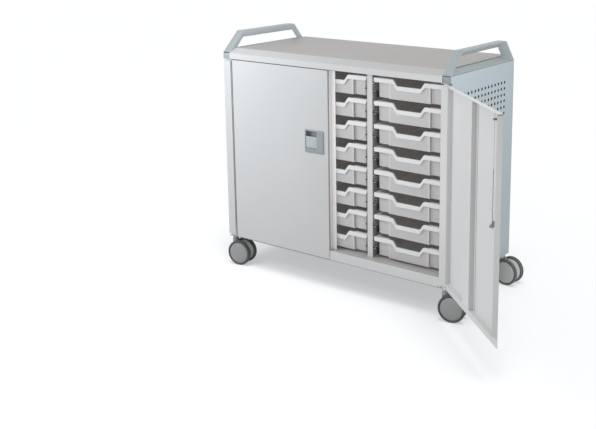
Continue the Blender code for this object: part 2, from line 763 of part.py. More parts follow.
right_joint.rotation_euler.z = RIGHT_DOOR_OPEN


# Trays: tapered shells with a turned down rim that dips in the middle of the front
def tray_outline(rim, inset, heights):
    """One ring of the tray; a body ring follows the taper of the walls, a rim ring stands upright."""
    side_rim, front_rim, step = (0.0, 0.0, 0.0) if rim else (TRAY_RIM, TRAY_FRONT_RIM, TRAY_PANEL_STEP)
    ring = []
    half = TRAY_WIDTH / 2
    order = [
        (-half, "rear_side"),
        (-half, "front_side"),
        (-half + TRAY_CORNER, "front"),
        (-TRAY_PANEL_HALF, "front"),
        (-TRAY_PANEL_HALF + TRAY_WALL, "panel"),
        (-TRAY_DIP_OUTER, "panel"),
        (-TRAY_DIP_INNER, "panel"),
        (TRAY_DIP_INNER, "panel"),
        (TRAY_DIP_OUTER, "panel"),
        (TRAY_PANEL_HALF - TRAY_WALL, "panel"),
        (TRAY_PANEL_HALF, "front"),
        (half - TRAY_CORNER, "front"),
        (half, "front_side"),
        (half, "rear_side"),
        (half - TRAY_CORNER, "rear"),
        (-half + TRAY_CORNER, "rear"),
    ]
    for (x, place_name), height in zip(order, heights):
        taper = 0.0 if rim else TRAY_TAPER * (1 - height / TRAY_HEIGHT)
        back_in = side_rim + taper + inset
        front_in = front_rim + taper + inset
        shift = 0.0
        if abs(x) > TRAY_PANEL_HALF + TRAY_WALL:
            shift = -math.copysign(back_in, x)
        elif abs(x) > TRAY_DIP_OUTER:
            shift = -math.copysign(inset, x)
        y = {
            "rear_side": TRAY_DEPTH - TRAY_CORNER - back_in,
            "front_side": TRAY_CORNER + front_in + step,
            "front": front_in + step,
            "panel": front_in,
            "rear": TRAY_DEPTH - back_in,
        }[place_name]
        ring.append((x + shift, y, height))
    return ring


TRAY_POINTS = 16
DIPPED = (6, 7)
FRONT_POINTS = range(2, 12)
rim_height = [TRAY_HEIGHT - (TRAY_DIP_DEPTH if i in DIPPED else 0.0) for i in range(TRAY_POINTS)]
under_rim = [height - TRAY_WALL for height in rim_height]
lip_edge = [
    height - (TRAY_FRONT_LIP if i in FRONT_POINTS else TRAY_SIDE_LIP) for i, height in enumerate(rim_height)
]
tray_rings = [
    tray_outline(False, 0.0, [0.0] * TRAY_POINTS),
    tray_outline(False, 0.0, under_rim),
    tray_outline(True, TRAY_WALL, under_rim),
    tray_outline(True, TRAY_WALL, lip_edge),
    tray_outline(True, 0.0, lip_edge),
    tray_outline(True, 0.0, rim_height),
    tray_outline(False, TRAY_WALL, rim_height),
    tray_outline(False, TRAY_WALL, [TRAY_WALL] * TRAY_POINTS),
]


def tray_shell(x, y, z):
    """Mesh data for one tray: rings lofted from the outer floor, round the rim, to the inner floor."""
    data = bmesh.new()
    loops = [[data.verts.new((x + u, y + v, z + w)) for u, v, w in ring] for ring in tray_rings]
    for lower, upper in zip(loops, loops[1:]):
        for index in range(TRAY_POINTS):
            following = (index + 1) % TRAY_POINTS
            data.faces.new((lower[index], lower[following], upper[following], upper[index]))
    data.faces.new(loops[0])
    data.faces.new(loops[-1])
    return data


for column_name, column in COLUMNS.items():
    for row in range(TRAY_ROWS):
        floor = FIRST_TRAY + row * TRAY_PITCH
        add_object(
            "tray_{}_{}".format(column_name, row + 1),
            tray_shell(column, TRAY_SETBACK, floor),
            "tray_plastic",
            root,
            (column, TRAY_SETBACK, floor),
        )


# Casters: a forked horn on a swivel stem, with a wheel on each end of the axle
def add_wheel(name, centre, outward, parent):
    """A wheel turned about its axle, closed on the outer side, with a flat of its tread on the floor."""
    half = WHEEL_THICKNESS / 2
    bore = AXLE_RADIUS + AXLE_PLAY
    hub = HORN_THICKNESS / 2 + PIECE_GAP - WHEEL_SPACING / 2
    tread = WHEEL_RADIUS / math.cos(math.pi / WHEEL_STEPS)
    shoulder = tread - WHEEL_SHOULDER
    profile = [
        (0.0, half),
        (shoulder, half - WHEEL_EDGE / 2),
        (tread, half - WHEEL_EDGE),
        (tread, WHEEL_EDGE - half),
        (shoulder, -half),
        (2 * bore, hub),
        (bore, hub),
        (bore, half - PLATE),
        (0.0, half - PLATE),
    ]
    half_step = math.pi / WHEEL_STEPS
    data = bmesh.new()
    points = [
        data.verts.new((radius * math.cos(half_step), radius * math.sin(half_step), along))
        for radius, along in profile
    ]
    for pair in zip(points, points[1:]):
        data.edges.new(pair)
    bmesh.ops.translate(data, verts=data.verts, vec=centre)
    wheel = add_object(name, data, "wheel_plastic", parent, centre)
    turned = wheel.modifiers.new("Turned", "SCREW")
    turned.axis = "Z"
    turned.steps = WHEEL_STEPS
    turned.render_steps = WHEEL_STEPS
    turned.use_merge_vertices = True
    turned.merge_threshold = MERGE
    wheel.rotation_euler.x = -outward * math.pi / 2


caster_y = {"front": CASTER_INSET, "rear": BODY_DEPTH - CASTER_INSET}
for corner, turn in CASTER_TURNS.items():
    end, side_name = corner.split("_")
    stem = (SIDES[side_name] * HINGE_X, caster_y[end], 0.0)
    swivel = add_empty(corner + "_swivel", stem, root)
    axle_x = stem[0] + CASTER_TRAIL
    crown = BODY_BOTTOM - PIECE_GAP
    neck = 2 * WHEEL_RADIUS
    horn_foot = WHEEL_RADIUS - 2 * AXLE_RADIUS
    horn_side = [
        (stem[0] - STEM_RADIUS, neck),
        (stem[0] - STEM_RADIUS, HORN_WAIST),
        (axle_x - HORN_FOOT_HALF, horn_foot),
        (axle_x + HORN_FOOT_HALF, horn_foot),
        (axle_x + HORN_NOSE, WHEEL_RADIUS),
        (axle_x + HORN_FOOT_HALF, HORN_WAIST),
        (stem[0] + STEM_RADIUS, neck),
    ]
    horn_faces = (stem[1] - HORN_THICKNESS / 2, stem[1] + HORN_THICKNESS / 2)
    fork = add_object(corner + "_fork", prism(horn_side, "Y", *horn_faces), "caster_plastic", swivel, stem)
    stem_bar = prism(round_outline(stem[:2], STEM_RADIUS, ROUND_SIDES), "Z", neck - STEM_RADIUS, crown)
    combine(fork, stem_bar, "UNION", swivel)
    axle_reach = WHEEL_SPACING / 2 + WHEEL_THICKNESS / 2 - PLATE - PIECE_GAP
    axle = prism(
        round_outline((axle_x, WHEEL_RADIUS), AXLE_RADIUS, ROUND_SIDES),
        "Y",
        stem[1] - axle_reach,
        stem[1] + axle_reach,
    )
    combine(fork, axle, "UNION", swivel)
    away = -1 if end == "front" else 1
    for wheel_name, outward in (("outer", away), ("inner", -away)):
        centre = (axle_x, stem[1] + outward * WHEEL_SPACING / 2, WHEEL_RADIUS)
        add_wheel("{}_{}_wheel".format(corner, wheel_name), centre, outward, swivel)
    swivel.rotation_euler.z = turn

# Shift the assembly so that the middle of its box is over the origin
bpy.context.view_layer.update()
evaluated = bpy.context.evaluated_depsgraph_get()
corners = []
for thing in parts.objects:
    if thing.type == "MESH":
        shape = thing.evaluated_get(evaluated).to_mesh()
        corners += [thing.matrix_world @ vertex.co for vertex in shape.vertices]
for axis in (0, 1):
    reach = [corner[axis] for corner in corners]
    root.location[axis] = -(min(reach) + max(reach)) / 2
bpy.context.view_layer.update()
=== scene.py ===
"""Looks of the mobile storage cabinet: coated steel, moulded trays, twin wheel casters and fittings."""
import json
import math

import bmesh
import bpy
from mathutils import Matrix, Vector

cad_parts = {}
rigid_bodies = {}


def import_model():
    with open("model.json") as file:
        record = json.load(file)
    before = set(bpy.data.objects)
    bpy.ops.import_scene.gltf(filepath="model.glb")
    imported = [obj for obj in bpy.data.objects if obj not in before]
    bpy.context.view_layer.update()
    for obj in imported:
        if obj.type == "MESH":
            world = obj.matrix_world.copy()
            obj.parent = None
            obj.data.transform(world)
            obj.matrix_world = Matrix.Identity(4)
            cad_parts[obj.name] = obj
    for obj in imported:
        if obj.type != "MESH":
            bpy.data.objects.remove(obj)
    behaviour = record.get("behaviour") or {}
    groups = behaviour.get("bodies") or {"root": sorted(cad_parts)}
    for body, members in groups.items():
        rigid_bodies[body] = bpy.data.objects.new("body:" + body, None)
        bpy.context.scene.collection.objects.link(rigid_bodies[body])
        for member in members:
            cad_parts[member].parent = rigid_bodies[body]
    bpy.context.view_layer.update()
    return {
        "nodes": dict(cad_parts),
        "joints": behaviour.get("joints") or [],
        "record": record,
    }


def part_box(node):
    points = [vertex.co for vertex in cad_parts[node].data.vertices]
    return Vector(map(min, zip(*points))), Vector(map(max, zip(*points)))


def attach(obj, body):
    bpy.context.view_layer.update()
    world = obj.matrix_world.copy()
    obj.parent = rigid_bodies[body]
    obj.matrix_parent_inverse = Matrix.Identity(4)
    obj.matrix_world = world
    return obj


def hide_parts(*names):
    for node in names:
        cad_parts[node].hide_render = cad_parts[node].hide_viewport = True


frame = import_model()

NODES = frame["nodes"]
RECORD = frame["record"]
BODY_OF = {node: body for body, nodes in RECORD["behaviour"]["bodies"].items() for node in nodes}
SLOT_OF = {entry["node"]: entry["material_slot"] for entry in RECORD["subparts"]}
JOINT_OF = {joint["child"]: joint for joint in frame["joints"]}


def low_corner(node):
    return Vector(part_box(node)[0])


def high_corner(node):
    return Vector(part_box(node)[1])


def joint_place(node):
    """The point that the body of a node turns about."""
    return Vector(JOINT_OF[BODY_OF[node]]["pos_m"])


def joint_axis(node):
    """The axis that the body of a node turns about."""
    return Vector(JOINT_OF[BODY_OF[node]]["axis"])


# Places in the frame: the cabinet's mid plane, its front plane and its main levels
MM = 0.001
GAP = 0.3 * MM
SHEET = 1.2 * MM
MID_X = (low_corner("left_end_panel").x + high_corner("right_end_panel").x) / 2
FRONT_Y = low_corner("worktop").y
CABINET = Vector((MID_X, FRONT_Y, 0.0))
OUTER_HALF = high_corner("right_end_panel").x - MID_X
INNER_HALF = high_corner("base_pan").x - MID_X + GAP
DEPTH = high_corner("worktop").y - FRONT_Y
WORKTOP_TOP = high_corner("worktop").z
WORKTOP_BOTTOM = low_corner("worktop").z
BASE_TOP = high_corner("base_pan").z
DOOR_BOTTOM = low_corner("left_door").z
DOOR_TOP = high_corner("left_door").z
SIDES = {"left": -1, "right": 1}

# Small rounds on the edges of thin pieces, and the distance at which points count as one
FINE_ROUND = 0.2 * MM
SMALL_ROUND = 0.3 * MM
WELD_DISTANCE = 0.01 * MM

# The right door stands open: its fittings are made for the shut door and swung about its hinge
RIGHT_DOOR_TURN = math.radians(139.5)
RIGHT_HINGE = joint_place("right_door")
AT_CABINET = Matrix.Translation(CABINET)
AT_RIGHT_DOOR = (
    Matrix.Translation(RIGHT_HINGE)
    @ Matrix.Rotation(RIGHT_DOOR_TURN, 4, "Z")
    @ Matrix.Translation(CABINET - RIGHT_HINGE)
)

scene = bpy.context.scene
scene.view_settings.view_transform = "Standard"


# Shader node groups shared by the finishes
class Tree:
    """Short words for adding and joining shader nodes."""

    def __init__(self, tree):
        self.tree = tree

    def add(self, kind, **settings):
        node = self.tree.nodes.new(kind)
        for key, value in settings.items():
            setattr(node, key, value)
        return node

    def join(self, start, end):
        self.tree.links.new(start, end)

    def feed(self, socket, value):
        """Link a socket, or set its value."""
        if isinstance(value, bpy.types.NodeSocket):
            self.join(value, socket)
        else:
            socket.default_value = value

    def math(self, operation, first, second=0.0, clamp=False):
        node = self.add("ShaderNodeMath", operation=operation, use_clamp=clamp)
        self.feed(node.inputs[0], first)
        self.feed(node.inputs[1], second)
        return node.outputs[0]

    def ramp(self, value, start, end, low=0.0, high=1.0):
        """Map a value between two limits, clamped."""
        node = self.add("ShaderNodeMapRange")
        self.feed(node.inputs["Value"], value)
        self.feed(node.inputs["From Min"], start)
        self.feed(node.inputs["From Max"], end)
        self.feed(node.inputs["To Min"], low)
        self.feed(node.inputs["To Max"], high)
        return node.outputs["Result"]

    def noise(self, scale, detail, roughness=0.5):
        """Cloudy noise that keeps its place on the piece."""
        node = self.add("ShaderNodeTexNoise")
        self.feed(node.inputs["Scale"], scale)
        node.inputs["Detail"].default_value = detail
        node.inputs["Roughness"].default_value = roughness
        self.join(self.add("ShaderNodeTexCoord").outputs["Object"], node.inputs["Vector"])
        return node.outputs["Fac"]

    def mix(self, factor, first, second):
        """Blend two colours."""
        node = self.add("ShaderNodeMix", data_type="RGBA")
        self.feed(node.inputs[0], factor)
        self.feed(node.inputs[6], first)
        self.feed(node.inputs[7], second)
        return node.outputs[2]

    def facing_up(self):
        """How far a face looks up, from -1 to 1."""
        split = self.add("ShaderNodeSeparateXYZ")
        self.join(self.add("ShaderNodeNewGeometry").outputs["Normal"], split.inputs[0])
        return split.outputs["Z"]


def new_group(name, inputs, outputs):
    """An empty shader node group with float inputs and the named outputs."""
    group = bpy.data.node_groups.new(name, "ShaderNodeTree")
    for label, value in inputs.items():
        socket = group.interface.new_socket(label, in_out="INPUT", socket_type="NodeSocketFloat")
        socket.default_value = value
    for label in outputs:
        group.interface.new_socket(label, in_out="OUTPUT", socket_type="NodeSocketFloat")
    tree = Tree(group)
    tree.source = tree.add("NodeGroupInput")
    tree.sink = tree.add("NodeGroupOutput")
    return tree


BROAD_GRAIN = 0.23
UPWARD_START = 0.93
UPWARD_BLEND = 0.05


def surface_grain_group():
    """Fine bumps of a coat or a moulded skin, as a height."""
    tree = new_group("surface_grain", {"Scale": 900.0, "Coarse": 0.4}, ["Height"])
    scale = tree.source.outputs["Scale"]
    fine = tree.noise(scale, detail=2.0)
    broad = tree.noise(tree.math("MULTIPLY", scale, BROAD_GRAIN), detail=1.0)
    coarse = tree.math("MULTIPLY", broad, tree.source.outputs["Coarse"])
    tree.join(tree.math("ADD", fine, coarse), tree.sink.inputs["Height"])
    return tree.tree


def tone_drift_group():
    """Slow drift of tone over a panel, from 0 to 1."""
    tree = new_group("tone_drift", {"Scale": 3.0, "Contrast": 1.0}, ["Drift"])
    cloud = tree.noise(tree.source.outputs["Scale"], detail=4.0, roughness=0.55)
    spread = tree.math("MULTIPLY", tree.math("SUBTRACT", cloud, 0.5), tree.source.outputs["Contrast"])
    tree.join(tree.math("ADD", spread, 0.5, clamp=True), tree.sink.inputs["Drift"])
    return tree.tree


def edge_wear_group():
    """Mask along the edges of a piece, broken up by noise."""
    tree = new_group("edge_wear", {"Radius": 2 * MM, "Amount": 0.5}, ["Mask"])
    rounded = tree.add("ShaderNodeBevel", samples=6)
    tree.join(tree.source.outputs["Radius"], rounded.inputs["Radius"])
    bend = tree.add("ShaderNodeVectorMath", operation="DOT_PRODUCT")
    tree.join(rounded.outputs["Normal"], bend.inputs[0])
    tree.join(tree.add("ShaderNodeNewGeometry").outputs["Normal"], bend.inputs[1])
    edge = tree.ramp(bend.outputs["Value"], start=0.995, end=0.80)
    broken = tree.ramp(tree.noise(scale=55.0, detail=4.0, roughness=0.6), start=0.42, end=0.62)
    worn = tree.math("MULTIPLY", edge, broken)
    mask = tree.math("MULTIPLY", worn, tree.source.outputs["Amount"], clamp=True)
    tree.join(mask, tree.sink.inputs["Mask"])
    return tree.tree


def settled_dust_group():
    """Mask of thin dust on faces that look up."""
    tree = new_group("settled_dust", {"Amount": 0.2}, ["Mask"])
    upward = tree.ramp(tree.facing_up(), start=0.55, end=0.98)
    specks = tree.ramp(tree.noise(scale=38.0, detail=5.0, roughness=0.65), start=0.35, end=0.75)
    dusty = tree.math("MULTIPLY", upward, specks)
    mask = tree.math("MULTIPLY", dusty, tree.source.outputs["Amount"], clamp=True)
    tree.join(mask, tree.sink.inputs["Mask"])
    return tree.tree


def upward_face_group():
    """Mask of faces that look straight up, where a finish paints shade."""
    tree = new_group("upward_face", {"Start": UPWARD_START}, ["Mask"])
    start = tree.source.outputs["Start"]
    end = tree.math("ADD", start, UPWARD_BLEND)
    tree.join(tree.ramp(tree.facing_up(), start, end), tree.sink.inputs["Mask"])
    return tree.tree


SURFACE_GRAIN = surface_grain_group()
TONE_DRIFT = tone_drift_group()
EDGE_WEAR = edge_wear_group()
SETTLED_DUST = settled_dust_group()
UPWARD_FACE = upward_face_group()

# Finishes
DUST_TONE = (0.62, 0.61, 0.59)
DRIFT_CONTRAST = 1.4
ROUGHNESS_DRIFT = 0.05
COARSE_GRAIN = 0.6
GLOW_RADII = (1.0, 0.86, 0.78)
GLOW_DEPTH = 4 * MM


def finish(
    name,
    colour,
    shade,
    roughness,
    worn=None,
    wear=0.0,
    wear_radius=1.5 * MM,
    dust=0.1,
    grain_scale=900.0,
    grain_depth=0.02 * MM,
    metallic=0.0,
    drift_scale=2.5,
    top=None,
    glow_through=0.0,
):
    """A surface finish: two close tones that drift, brighter edges, thin dust, a fine skin, and where given
    a top tone painted as shade on faces that look up.
    """
    material = bpy.data.materials.new(name)
    material.use_nodes = True
    tree = Tree(material.node_tree)
    shader = material.node_tree.nodes["Principled BSDF"]
    shader.inputs["Metallic"].default_value = metallic

    def place(group, **values):
        node = tree.add("ShaderNodeGroup", node_tree=group)
        for label, value in values.items():
            node.inputs[label].default_value = value
        return node.outputs[0]

    drift = place(TONE_DRIFT, Scale=drift_scale, Contrast=DRIFT_CONTRAST)
    tone = tree.mix(drift, (*shade, 1.0), (*colour, 1.0))
    # Faces that look up take the top tone: painted shade
    if top:
        tone = tree.mix(place(UPWARD_FACE, Start=UPWARD_START), tone, (*top, 1.0))
    if wear:
        tone = tree.mix(place(EDGE_WEAR, Radius=wear_radius, Amount=wear), tone, (*worn, 1.0))
    if dust:
        tone = tree.mix(place(SETTLED_DUST, Amount=dust), tone, (*DUST_TONE, 1.0))
    tree.join(tone, shader.inputs["Base Color"])
    dull = roughness + ROUGHNESS_DRIFT
    glossy = roughness - ROUGHNESS_DRIFT
    tree.join(tree.ramp(drift, 0.0, 1.0, dull, glossy), shader.inputs["Roughness"])
    bump = tree.add("ShaderNodeBump")
    bump.inputs["Distance"].default_value = grain_depth
    bump.inputs["Strength"].default_value = 1.0
    tree.join(place(SURFACE_GRAIN, Scale=grain_scale, Coarse=COARSE_GRAIN), bump.inputs["Height"])
    tree.join(bump.outputs["Normal"], shader.inputs["Normal"])
    if glow_through:
        shader.inputs["Subsurface Weight"].default_value = glow_through
        shader.inputs["Subsurface Radius"].default_value = GLOW_RADII
        shader.inputs["Subsurface Scale"].default_value = GLOW_DEPTH
    return material


def grey(value, warm=0.0):
    """A near neutral colour, slightly warm or cool."""
    return (value * (1 + warm), value, value * (1 - warm))


COAT = grey(0.66, -0.008)
COAT_SHADE = grey(0.60)
# Darker tone for faces that look up: painted shade on the worktop's top
WORKTOP_PAINTED_TOP_SHADE = (0.476, 0.460, 0.457)
# Darker tone for faces that look up: painted shade on the bay floor of the base
BASE_PAINTED_FLOOR_SHADE = (0.515, 0.50, 0.49)
FINE_EDGE = 1 * MM
FINISHES = {
    "carcass": finish("carcass_coat", COAT, COAT_SHADE, 0.42, grey(0.80), 0.35),
    "worktop": finish("worktop_coat_and_painted_top_shade", COAT, grey(0.62), 0.45, grey(0.76), 0.4, dust=0.12, top=WORKTOP_PAINTED_TOP_SHADE),
    "base": finish("base_coat_and_painted_floor_shade", COAT, COAT_SHADE, 0.42, grey(0.80), 0.35, top=BASE_PAINTED_FLOOR_SHADE),
    "ends": finish(
        "end_panel_coat", (0.485, 0.575, 0.625), (0.455, 0.54, 0.585), 0.42, (0.64, 0.70, 0.73), 0.4
    ),
    "handles": finish(
        "handle_coat", (0.46, 0.52, 0.54), (0.425, 0.48, 0.50), 0.40, (0.60, 0.64, 0.66), 0.4
    ),
    "rims": finish("tray_rim_moulding", grey(0.82), grey(0.79), 0.45, grey(0.87), 0.3, FINE_EDGE, 0.03),
    # The tray's outer walls: a darker copy of the white rim moulding, painted shade under the rims
    "trays": finish(
        "tray_body_painted_shade",
        (0.635, 0.625, 0.625),
        (0.605, 0.594, 0.592),
        0.5,
        grey(0.72),
        0.3,
        dust=0.05,
        grain_scale=1400.0,
        glow_through=0.5,
    ),
    # Pale bands beside the steps of the tray front: painted highlight on their rounded edges
    "tray_painted_highlight_edges": finish(
        "tray_painted_highlight_moulding", (0.735, 0.725, 0.725), (0.705, 0.694, 0.692), 0.5, grey(0.78), 0.3, dust=0.03
    ),
    # The tray's insides: warmer and darker than the white rim, painted shade in the hollows, a little
    # lighter than the outer walls
    "tray_insides_painted_shade": finish(
        "tray_inner_painted_shade",
        (0.68, 0.652, 0.635),
        (0.625, 0.598, 0.582),
        0.55,
        grey(0.8),
        0.2,
        glow_through=0.5,
    ),
    # A darker copy of the end panel coat: painted shade on the caps
    "caps": finish("panel_cap_painted_shade", (0.345, 0.40, 0.42), (0.32, 0.37, 0.39), 0.42, (0.5, 0.55, 0.57), 0.4),
    # Black for hole walls, slots and the sheet behind the holes: painted shade
    "black_painted_shade": finish("painted_shade_black", grey(0.02), grey(0.015), 0.8, dust=0.0),
    "latch": finish(
        "latch_moulding", (0.50, 0.575, 0.60), (0.46, 0.53, 0.55), 0.36, (0.7, 0.75, 0.77), 0.4
    ),
    # A darker copy of the latch moulding: painted shade on the plate
    "latch_plate": finish(
        "latch_plate_painted_shade", (0.35, 0.385, 0.40), (0.32, 0.35, 0.365), 0.4, grey(0.48), 0.4
    ),
    "steel": finish(
        "zinc_steel", grey(0.62), grey(0.5), 0.34, grey(0.8), 0.3, metallic=1.0, drift_scale=30.0
    ),
    "rod": finish(
        "dull_rod_steel", grey(0.50), grey(0.42), 0.42, grey(0.6), 0.3, metallic=1.0, drift_scale=30.0
    ),
    "lever": finish(
        "lock_lever_steel", grey(0.29), grey(0.23), 0.45, grey(0.4), 0.3, metallic=0.6, drift_scale=40.0
    ),
    "stems": finish("caster_stem_moulding", grey(0.36, -0.01), grey(0.32, -0.01), 0.45, grey(0.46), 0.4),
    "forks": finish("fork_moulding", grey(0.20, -0.01), grey(0.16, -0.01), 0.45, grey(0.30), 0.4),
    # A pale tone for the back of each wheel: painted light on its shaded inner side
    "wheel_backs_painted_light": finish(
        "wheel_back_painted_light", grey(0.60, -0.01), grey(0.54, -0.01), 0.45, grey(0.66), 0.4, dust=0.08
    ),
    "discs": finish(
        "wheel_disc_moulding", grey(0.33, -0.01), grey(0.29, -0.01), 0.42, grey(0.43), 0.4, dust=0.08
    ),
    "treads": finish(
        "wheel_tread_rubber", grey(0.078), grey(0.06), 0.62, grey(0.11), 0.3, dust=0.15, grain_scale=600.0
    ),
    # A dark, mottled tone: the runners' own colour, darkened further as painted shade on the bay walls
    "runners": finish(
        "runner_moulding_and_painted_shade", grey(0.34, 0.03), grey(0.14, 0.03), 0.5, grey(0.44), 0.6, drift_scale=90.0
    ),
    "clips": finish(
        "runner_clip_moulding", grey(0.74, 0.02), grey(0.60, 0.02), 0.5, grey(0.8), 0.5, drift_scale=60.0
    ),
    "bead": finish("door_strip_moulding", grey(0.70), grey(0.67), 0.45, grey(0.76), 0.3, FINE_EDGE, 0.03),
    # Brown-grey for thin dark lines at gaps and edges: painted shade
    "painted_shade_line": finish(
        "door_seal_rubber", (0.33, 0.30, 0.29), (0.27, 0.245, 0.238), 0.66, (0.40, 0.36, 0.35), 0.3
    ),
}
SLOT_FINISHES = {
    "carcass_paint": "carcass",
    "end_paint": "ends",
    "handle_paint": "handles",
    "tray_plastic": "trays",
    "latch_plastic": "latch",
    "bright_steel": "steel",
    "caster_plastic": "forks",
    "wheel_plastic": "discs",
}
NODE_FINISHES = {"worktop": "worktop", "base_pan": "base"}


# Mesh helpers
def finished_mesh(name, data):
    """Turn mesh data into a mesh whose faces look outward."""
    bmesh.ops.recalc_face_normals(data, faces=data.faces)
    mesh = bpy.data.meshes.new(name)
    data.to_mesh(mesh)
    data.free()
    return mesh


def add_piece(name, data, node, finishes, stands_for=True, sharp=35.0, place=AT_CABINET):
    """Show mesh data, made in the cabinet's frame, as a piece that moves with the node's body."""
    piece = show_mesh(name, finished_mesh(name, data), node, finishes, stands_for, sharp)
    piece.matrix_world = place
    return piece


def show_mesh(name, mesh, node, finishes, stands_for=True, sharp=35.0):
    """Show a finished mesh on a node's body, in place of the node when it stands for it."""
    if not mesh.materials:
        for label in finishes:
            mesh.materials.append(FINISHES[label])
        mesh.shade_smooth()
        mesh.set_sharp_from_angle(angle=math.radians(sharp))
    piece = bpy.data.objects.new(name, mesh)
    scene.collection.objects.link(piece)
    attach(piece, BODY_OF[node])
    if stands_for:
        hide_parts(node)
    return piece


def loft(data, rings, cap_first=True, cap_last=True, material=0, closed=False):
    """Join rings of equal length into a skin, and give back its points."""
    loops = [[data.verts.new(point) for point in ring] for ring in rings]
    count = len(loops[0])
    pairs = list(zip(loops, loops[1:]))
    if closed:
        pairs.append((loops[-1], loops[0]))
    for lower, upper in pairs:
        for index in range(count):
            following = (index + 1) % count
            face = data.faces.new((lower[index], lower[following], upper[following], upper[index]))
            face.material_index = material
    if cap_first and not closed:
        data.faces.new(loops[0]).material_index = material
    if cap_last and not closed:
        data.faces.new(loops[-1]).material_index = material
    return [vert for loop in loops for vert in loop]


def round_edges(data, verts, width, steps=2, angle=50.0):
    """Round the sharp edges between some points of a mesh."""
    faces = {face for vert in verts for face in vert.link_faces}
    bmesh.ops.recalc_face_normals(data, faces=list(faces))
    edges = {edge for vert in verts for edge in vert.link_edges}
    limit = math.radians(angle)
    sharp = [edge for edge in edges if len(edge.link_faces) == 2 and edge.calc_face_angle() > limit]
    bmesh.ops.bevel(
        data, geom=sharp, offset=width, segments=steps, affect="EDGES", profile=0.5, clamp_overlap=True
    )


def block(data, low, high, rounding=0.0, material=0):
    """A block between two corners, in any order, with rounded edges."""
    xs, ys, zs = [sorted(pair) for pair in zip(low, high)]
    rings = [[(xs[0], ys[0], z), (xs[1], ys[0], z), (xs[1], ys[1], z), (xs[0], ys[1], z)] for z in zs]
    verts = loft(data, rings, material=material)
    if rounding:
        round_edges(data, verts, rounding)


def drawn_out(data, outline, axis, low, high, rounding=0.0, material=0, steps=2):
    """A flat outline drawn out along X, Y or Z, with its sharp edges rounded."""
    along = "XYZ".index(axis)
    rings = []
    for level in (low, high):
        ring = []
        for first, second in outline:
            point = [first, second]
            point.insert(along, level)
            ring.append(point)
        rings.append(ring)
    verts = loft(data, rings, material=material)
    if rounding:
        round_edges(data, verts, rounding, steps)


def turned(data, profile, steps, place=Matrix(), materials=None):
    """Turn a profile of (radius, along) points about the Z of a place; ends on the axis are closed."""
    loops = []
    for radius, along in profile:
        if radius < WELD_DISTANCE:
            loops.append([data.verts.new(place @ Vector((0.0, 0.0, along)))])
            continue
        angles = [2 * math.pi * step / steps for step in range(steps)]
        points = [Vector((radius * math.cos(a), radius * math.sin(a), along)) for a in angles]
        loops.append([data.verts.new(place @ point) for point in points])
    for (lower, upper), material in zip(zip(loops, loops[1:]), materials or [0] * len(loops)):
        for index in range(steps):
            following = (index + 1) % steps
            corners = [lower[index % len(lower)], lower[following % len(lower)]]
            corners += [upper[following % len(upper)], upper[index % len(upper)]]
            face = data.faces.new(list(dict.fromkeys(corners)))
            face.material_index = material


def rounded_ring(corners, radii, steps=4):
    """A closed flat outline with a round bend at each corner."""
    ring = []
    count = len(corners)
    for index, radius in enumerate(radii):
        corner = Vector(corners[index])
        start = (Vector(corners[index - 1]) - corner).normalized()
        end = (Vector(corners[(index + 1) % count]) - corner).normalized()
        half_angle = start.angle(end) / 2
        middle = corner + (start + end).normalized() * radius / math.sin(half_angle)
        reach = radius / math.tan(half_angle)
        first = corner + start * reach - middle
        last = corner + end * reach - middle
        sweep = first.angle(last)
        for step in range(steps + 1):
            share = step / steps
            spoke = first * math.sin((1 - share) * sweep) + last * math.sin(share * sweep)
            ring.append(tuple(middle + spoke / math.sin(sweep)))
    return ring


def rounded_box(low, high, radius, steps=4):
    """A rectangle with round corners, as a flat outline."""
    corners = [(low[0], low[1]), (high[0], low[1]), (high[0], high[1]), (low[0], high[1])]
    return rounded_ring(corners, [radius] * 4, steps)


def arc(centre, radius, start, end, steps):
    """Points of a plan arc, angles in degrees."""
    angles = [math.radians(start + (end - start) * step / steps) for step in range(steps + 1)]
    return [(centre[0] + radius * math.cos(a), centre[1] + radius * math.sin(a)) for a in angles]


def ease(value):
    """Smooth step from 0 to 1."""
    value = min(max(value, 0.0), 1.0)
    return value * value * (3 - 2 * value)


def in_metres(points):
    """Flat points given in millimetres."""
    return [(first * MM, second * MM) for first, second in points]


# Trays: their sizes follow the frame, and their rims stand a little wider
TRAY_LOW = low_corner("tray_right_1")
TRAY_HIGH = high_corner("tray_right_1")
TRAY_SPREAD = 2 * MM
TRAY_WIDTH = TRAY_HIGH.x - TRAY_LOW.x + 2 * TRAY_SPREAD
TRAY_DEPTH = TRAY_HIGH.y - TRAY_LOW.y
TRAY_HEIGHT = TRAY_HIGH.z - TRAY_LOW.z
TRAY_RIM = 13 * MM
TRAY_FRONT_RIM = 6 * MM
TRAY_TAPER = 1 * MM
TRAY_WALL = 2.5 * MM
TRAY_EDGE_ROUND = 1.2 * MM
TRAY_FOOT_ROUND = 5 * MM
TRAY_FOOT_BEND_INSET = 1.5 * MM
TRAY_FOOT_BEND_RISE = 1.2 * MM
TRAY_FRONT_LIP = 17 * MM
TRAY_SIDE_LIP = 6 * MM
TRAY_CORNER = 5 * MM
CORNER_TIGHTENING = 0.6
CORNER_STEPS = 6
TRAY_PANEL_HALF = 91.5 * MM
PANEL_SAMPLES = 36
PAINTED_HIGHLIGHT_WIDTH = 6 * MM
TRAY_DIP_OUTER = 70 * MM
TRAY_DIP_INNER = 52 * MM
TRAY_DIP_DEPTH = 23.5 * MM
DIP_STRAIGHTNESS = 0.72
TRAY_STEP = 10 * MM
STEP_ROUND = 1.5 * MM
STEP_LEAN = 0.2 * MM
STEP_SAMPLES = 5
# The white rim, outer walls with painted shade, insides with painted shade, and pale bands with painted
# highlight
TRAY_FINISHES = ["rims", "trays", "tray_insides_painted_shade", "tray_painted_highlight_edges"]
RIM, OUTSIDE, INSIDE, PAINTED_HIGHLIGHT_EDGE = range(4)


